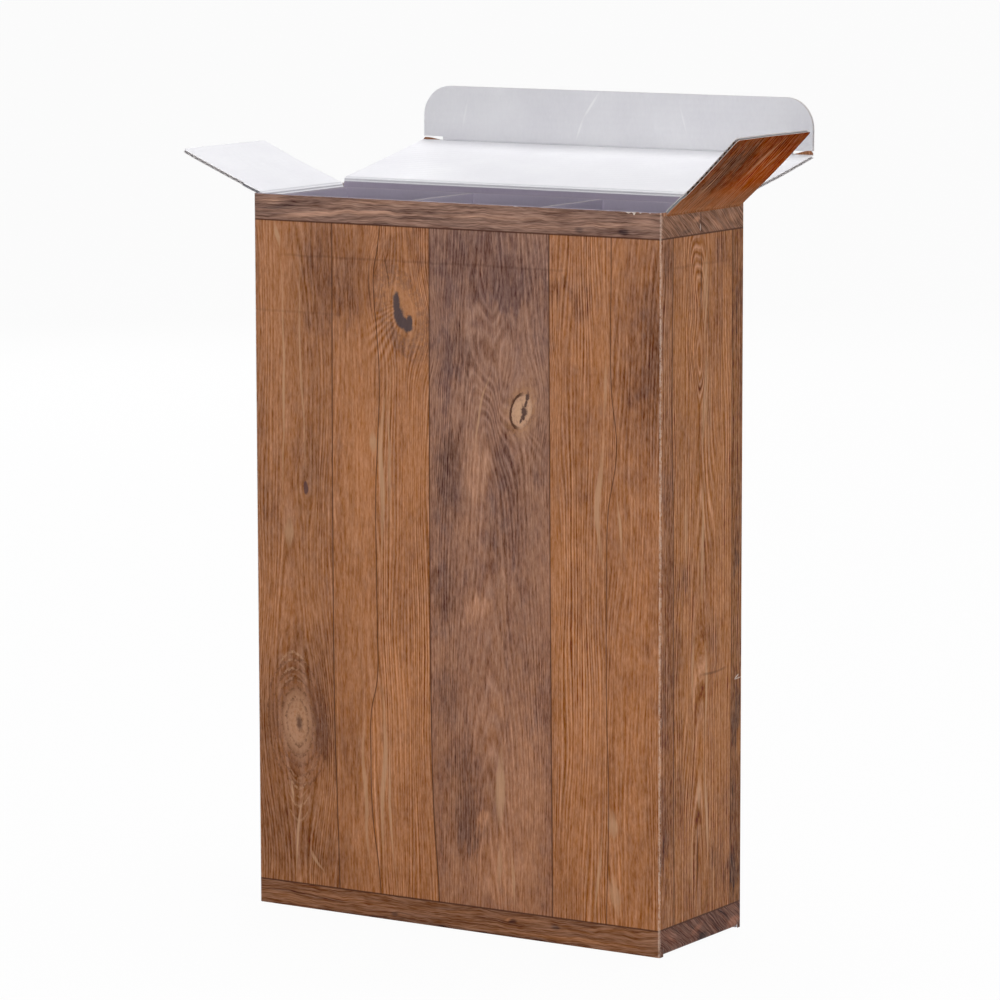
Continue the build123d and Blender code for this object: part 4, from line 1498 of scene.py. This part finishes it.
# The tuck flap's board, narrower up to the slits' ends and round at its upper corners
def makeTuck():
    stop, height, corner = board["foldStop"], lid["tuckHeight"], lid["tuckCorner"]
    opening = lid["slitOpening"]
    flat = spread(opening, height - corner, 1.8)
    tip = height - corner + corner * np.sin(np.linspace(0, math.pi / 2, 17))
    rows = np.unique(np.concatenate([pressedRows, [opening - 0.03, opening], flat, tip]))
    half = np.where(rows < opening - 0.01, lid["slitInner"], lid["tuckHalf"])
    half = half - roundedEnd(rows, height, corner)
    made = flapPlies(
        rows, -half, half, 121, tuckPlace, tuckWarp, carton["lidFold"][1] + lid["length"],
        flutesFrom=opening + 0.1, flutesTo=height - 0.3, ribs=121,
    )
    panel = piece("tuck_board", mirrored(made), [lidPrint, shadedTuckPaper, rawEdge, litEdgePaper])
    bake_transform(panel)
    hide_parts("tuck_flap")


makeLid()
makeTuck()
print("lid and tuck flap made")


# Folded boards that stay put are a path in one plane, carried across the carton.
# The path is a polyline whose corners are arcs: points, normals on the left, distance along it.
def roundedPath(corners, radius, step=2.5):
    corners = np.array(corners, float)
    points, angles = [], []
    heading = [math.atan2(*(b - a)[::-1]) for a, b in zip(corners[:-1], corners[1:])]
    start = corners[0]
    for i in range(1, len(corners)):
        if i < len(corners) - 1:
            turn = (heading[i] - heading[i - 1] + math.pi) % (2 * math.pi) - math.pi
            back = radius * math.tan(abs(turn) / 2)
        else:
            turn, back = 0.0, 0.0
        way = np.array([math.cos(heading[i - 1]), math.sin(heading[i - 1])])
        end = corners[i] - way * back
        run = np.linalg.norm(end - start)
        t = spread(0, run, step)
        points.append(start + t[:, None] * way)
        angles.append(np.full(len(t), heading[i - 1]))
        if turn:
            sense = math.copysign(1, turn)
            middle = end + radius * sense * np.array([-way[1], way[0]])
            sweep = np.linspace(0, turn, 8)[1:-1]
            facing = heading[i - 1] + sweep
            points.append(middle + radius * sense * np.stack([np.sin(facing), -np.cos(facing)], -1))
            angles.append(facing)
            start = middle + radius * sense * np.array([math.sin(heading[i]), -math.cos(heading[i])])
    points, angles = np.concatenate(points), np.concatenate(angles)
    normals = np.stack([-np.sin(angles), np.cos(angles)], -1)
    gaps = np.r_[0, np.cumsum(np.linalg.norm(np.diff(points, axis=0), axis=1))]
    return points, normals, gaps


# A path in the plane of two axes, repeated along the third at each span.
def carried(points, normals, spans, axes):
    shape = (len(points), spans.shape[-1])
    spans = np.broadcast_to(spans, shape)
    surface, facing = np.zeros(shape + (3,)), np.zeros(shape + (3,))
    surface[..., axes[0]] = points[:, 0][:, None]
    surface[..., axes[1]] = points[:, 1][:, None]
    surface[..., axes[2]] = spans
    facing[..., axes[0]] = normals[:, 0][:, None]
    facing[..., axes[1]] = normals[:, 1][:, None]
    return surface, facing


base = {
    "panelHalf": 116.2,
    "footHalf": 117.9,
    "tuckUp": 28.0,
    "tuckFace": -38.5,
    "foldRadius": 1.1,
    "flapLow": 1.75,
    "flapFoot": 0.25,       # the crushed fold's lowest place
    "flapTip": 68.0,
    "flapHalf": 36.75,
    "backEnd": 2.7,         # how far down the back's print goes
}


# The bottom panel from the back wall's foot to its tuck behind the front wall, and the two minor flaps on it.
def makeBase():
    liner, mid = board["liner"], halfBoard
    corners = [
        (carton["halfDepth"] - mid, carton["backFoot"]),
        (carton["halfDepth"] - mid, mid),
        (base["tuckFace"] + mid, mid),
        (base["tuckFace"] + mid, base["tuckUp"]),
    ]
    points, normals, gaps = roundedPath(corners, base["foldRadius"])
    half = base["panelHalf"] + (base["footHalf"] - base["panelHalf"]) * ease(gaps, 5.0, 2.6)
    surface, facing = carried(points, normals, half[:, None] * np.linspace(-1, 1, 41)[None, :], (1, 2, 0))
    mapping = np.stack([-surface[..., 0], np.repeat(carton["backFoot"] - gaps[:, None], 41, 1)], -1)
    slots = np.repeat(np.where(gaps[1:] < base["backEnd"], 5, 0)[:, None], 40, 1)
    made = liners(surface, facing, mid, mid, liner, mapping, (slots, 1, 2))
    for side in (-1, 1):
        middle = base["flapLow"] + mid
        corners = [
            (side * (carton["halfWidth"] - mid), carton["sideFoot"]),
            (side * (carton["halfWidth"] - mid), base["flapFoot"] + mid),
            (side * (base["panelHalf"] - 0.7), middle),
            (side * base["flapTip"], middle),
        ]
        points, normals, gaps = roundedPath(corners, base["foldRadius"])
        normals = normals * side
        spans = np.linspace(-base["flapHalf"], base["flapHalf"], 15)[None, :]
        surface, facing = carried(points, normals, spans, (0, 2, 1))
        mapping = np.stack([surface[..., 1] * side, np.repeat(carton["sideFoot"] - gaps[:, None], 15, 1)], -1)
        made += liners(surface, facing, mid, mid, liner, mapping, (3 if side > 0 else 4, 1, 2))
    bottom = piece("carton_base", made, [basePrint, shadedInnerPaper, rawEdge, sidePrint, leftPrint, backPrint])
    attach(bottom, "carton")
    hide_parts("carton_body")


makeBase()
print("base made")


insert = {
    "thick": 1.2,
    "liner": 0.2,
    "medium": 0.18,
    "pitch": 2.4,
    "foldRadius": 0.64,
    "fluteReach": 9.0,
    "fluteShort": 0.15,
    "low": 3.4,
    "top": 365.7,
    "notchBottom": 331.7,
    "notchEnd": -26.1,
    "front": -36.6,
    "back": 37.9,
    "cell": 38.2,
    "pair": 39.5,
    "end": 115.9,
}


# The divider from above: two end leaves, a back, and two doubled partitions
def insertLine():
    f, b = insert["front"] + insert["thick"] / 2, insert["back"]
    ends, pair, cell = insert["end"], insert["pair"], insert["cell"]
    corners = [
        (-ends, insert["front"]), (-ends, b), (-pair, b), (-pair, f), (-cell, f), (-cell, b),
        (cell, b), (cell, f), (pair, f), (pair, b), (ends, b), (ends, insert["front"]),
    ]
    return roundedPath(corners, insert["foldRadius"], 2.0)


# The divider's board, lower at its front than behind the notch, with fluted paper along its upper edge
def makeInsert():
    half, liner, medium = insert["thick"] / 2, insert["liner"], insert["medium"] / 2
    points, normals, gaps = insertLine()
    notchEnd, notchBottom = insert["notchEnd"], insert["notchBottom"]
    # extra places on both sides of the notch's upright edge
    extra = []
    for i in np.nonzero((points[1:, 1] - notchEnd) * (points[:-1, 1] - notchEnd) < 0)[0]:
        share = (notchEnd - points[i, 1]) / (points[i + 1, 1] - points[i, 1])
        place = gaps[i] + share * (gaps[i + 1] - gaps[i])
        extra += [place - wall["cut"], place + wall["cut"]]

    def at(distance):
        keep = np.r_[True, np.diff(gaps) > 1e-9]
        p = np.stack([np.interp(distance, gaps[keep], points[keep, k]) for k in (0, 1)], -1)
        n = np.stack([np.interp(distance, gaps[keep], normals[keep, k]) for k in (0, 1)], -1)
        return p, n / np.linalg.norm(n, axis=1, keepdims=True), p[:, 1] < notchEnd

    dense = np.unique(np.concatenate([gaps, extra]))
    rows = np.concatenate([[0], np.linspace(0.01, 0.99, 14), [1]])
    p, n, notched = at(dense)
    top = np.where(notched, notchBottom, insert["top"])
    spans = insert["low"] + (top - insert["low"])[:, None] * rows[None, :]
    surface, facing = carried(p, n, spans, (0, 1, 2))
    mapping = np.stack([np.repeat(dense[:, None], len(rows), 1), spans], -1)
    made = liners(surface, facing, half, half, liner, mapping, (0, 0, 1))
    waves = np.unique(np.concatenate([np.arange(0.2, gaps[-1] - 0.2, insert["pitch"] / 8), extra]))
    p, n, notched = at(waves)
    top = np.where(notched, notchBottom, insert["top"]) - insert["fluteShort"]
    foot = np.where(notched, top, notchBottom) - insert["fluteReach"]
    spans = np.stack([foot, top], -1)
    surface, facing = carried(p, n, spans, (0, 1, 2))
    wave = (half - liner - medium) * np.sin(2 * np.pi * waves / insert["pitch"])[:, None]
    mapping = np.stack([np.repeat(waves[:, None], 2, 1), spans], -1)
    made.append(ply(surface, facing, wave - medium, wave + medium, mapping, 1, 1, 1))
    strip = piece("divider_board", made, [shadedInsertPaper, rawEdge])
    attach(strip, "carton")
    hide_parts("bottle_divider")


makeInsert()
print("divider made")


glueFlap = {
    "reach": 6.0,          # how far it goes along the back wall before its fold
    "rear": 38.75,
    "tip": 8.8,
    "low": 8.0,
    "high": 357.0,
    "taper": 6.0,          # how much shorter each end is at the tip, from taperFrom on
    "taperFrom": 20.0,
}


# The seam's glue flap, folded from the back wall and stuck inside the left wall.
def makeGlueFlap():
    mid = halfBoard
    inner = carton["halfWidth"] - board["thick"]
    rear, tip = glueFlap["rear"] - mid, glueFlap["tip"]
    corners = [(-inner + glueFlap["reach"], rear), (-inner + mid, rear), (-inner + mid, tip)]
    path = roundedPath(corners, base["foldRadius"])
    points, normals, gaps = (values[len(values) // 5:] for values in path)
    shorten = glueFlap["taper"] * ease(points[:, 1], glueFlap["taperFrom"], tip)
    low, high = glueFlap["low"] + shorten, glueFlap["high"] - shorten
    spans = low[:, None] + (high - low)[:, None] * np.linspace(0, 1, 40)[None, :]
    surface, facing = carried(points, normals, spans, (0, 1, 2))
    mapping = np.stack([np.repeat(gaps[:, None], 40, 1), spans], -1)
    made = liners(surface, facing, mid, mid, board["liner"], mapping, (0, 0, 1))
    flap = piece("glue_flap", made, [shadedInnerPaper, rawEdge])
    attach(flap, "carton")
    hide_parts("carton_body")


makeGlueFlap()
print("glue flap made")


# Stage: a pale floor that sweeps up behind, and soft light
studio = {
    "floorTone": (236, 236, 238),
    "worldTone": (240, 238, 255),
    "world": 0.08,
    "glow": 0.96,
    "half": 6.0,           # the sweep, in metres
    "front": -8.0,
    "bend": 3.0,
    "bendRadius": 1.2,
    "top": 6.0,
    # name, place, aim, size and power
    "lamps": (
        ("topLight", (0.0, 0.35, 2.3), (0, 0, 0.3), 1.2, 33.5),
        ("frontLight", (0.7, -2.2, 0.45), (0, 0, 0.2), 1.0, 21.4),
        ("rightLight", (2.2, -0.6, 0.45), (0, 0, 0.2), 1.0, 12.6),
        ("rearLight", (-1.8, 1.9, 1.0), (0, 0, 0.2), 1.2, 16.0),
    ),
}


# The camera, and whatever mirrors or lets light through, sees white there.
# The light on the object stays the shader's.
def seenWhite(tree, shader, output):
    kinds = ("Camera", "Glossy", "Transmission")
    camera, glossy, clear = (node(tree, "ShaderNodeLightPath", {}, f"Is {kind} Ray") for kind in kinds)
    share = maths("MAXIMUM", maths("MAXIMUM", camera, glossy), clear) * studio["glow"]
    glow = node(tree, "ShaderNodeEmission", {})
    mix = node(tree, "ShaderNodeMixShader", {0: share, 1: Ink(tree, shader.outputs[0]), 2: glow})
    tree.links.new(mix.socket, tree.nodes[output].inputs["Surface"])


# A flat floor, a quarter circle and an upright back, carried across
def makeStage():
    angle, r = np.linspace(0, math.pi / 2, 17), studio["bendRadius"]
    across = np.linspace(-studio["half"], studio["half"], 3)
    y = np.concatenate([[studio["front"]], studio["bend"] + r * np.sin(angle), [studio["bend"] + r]])
    z = np.concatenate([[0.0], r * (1 - np.cos(angle)), [studio["top"]]])
    points = np.stack(np.broadcast_arrays(across[None, :], y[:, None], z[:, None]), -1).reshape(-1, 3)
    number = np.arange(len(y) * 3).reshape(len(y), 3)
    faces = np.stack([number[:-1, :-1], number[:-1, 1:], number[1:, 1:], number[1:, :-1]], -1).reshape(-1, 4)
    mesh = bpy.data.meshes.new("studio_sweep")
    mesh.from_pydata(points.tolist(), [], faces.tolist())
    mesh.polygons.foreach_set("use_smooth", np.ones(len(faces), bool))
    sweep = bpy.data.objects.new("studio_sweep", mesh)
    bpy.context.scene.collection.objects.link(sweep)
    paper, tree, shader = newMaterial("studioPaper", 0.9)
    shader.inputs["Base Color"].default_value = (*linear(studio["floorTone"]), 1.0)
    seenWhite(tree, shader, "Material Output")
    mesh.materials.append(paper)


def makeLights():
    world = bpy.data.worlds.new("studioWorld")
    world.use_nodes = True
    sky = world.node_tree.nodes["Background"]
    sky.inputs["Color"].default_value = (*linear(studio["worldTone"]), 1.0)
    sky.inputs["Strength"].default_value = studio["world"]
    seenWhite(world.node_tree, sky, "World Output")
    bpy.context.scene.world = world
    for name, place, aim, size, power in studio["lamps"]:
        lamp = bpy.data.lights.new(name, "AREA")
        lamp.shape = "SQUARE"
        lamp.size = size
        lamp.energy = power
        away = np.subtract(place, aim)
        away = away / np.linalg.norm(away)
        side = np.cross((0, 0, 1.0), away)
        side = side / np.linalg.norm(side)
        placed(name, lamp, (side, np.cross(away, side), away), place)
    bpy.context.scene.view_settings.view_transform = "Standard"


makeStage()
makeLights()
print("stage and lights made")
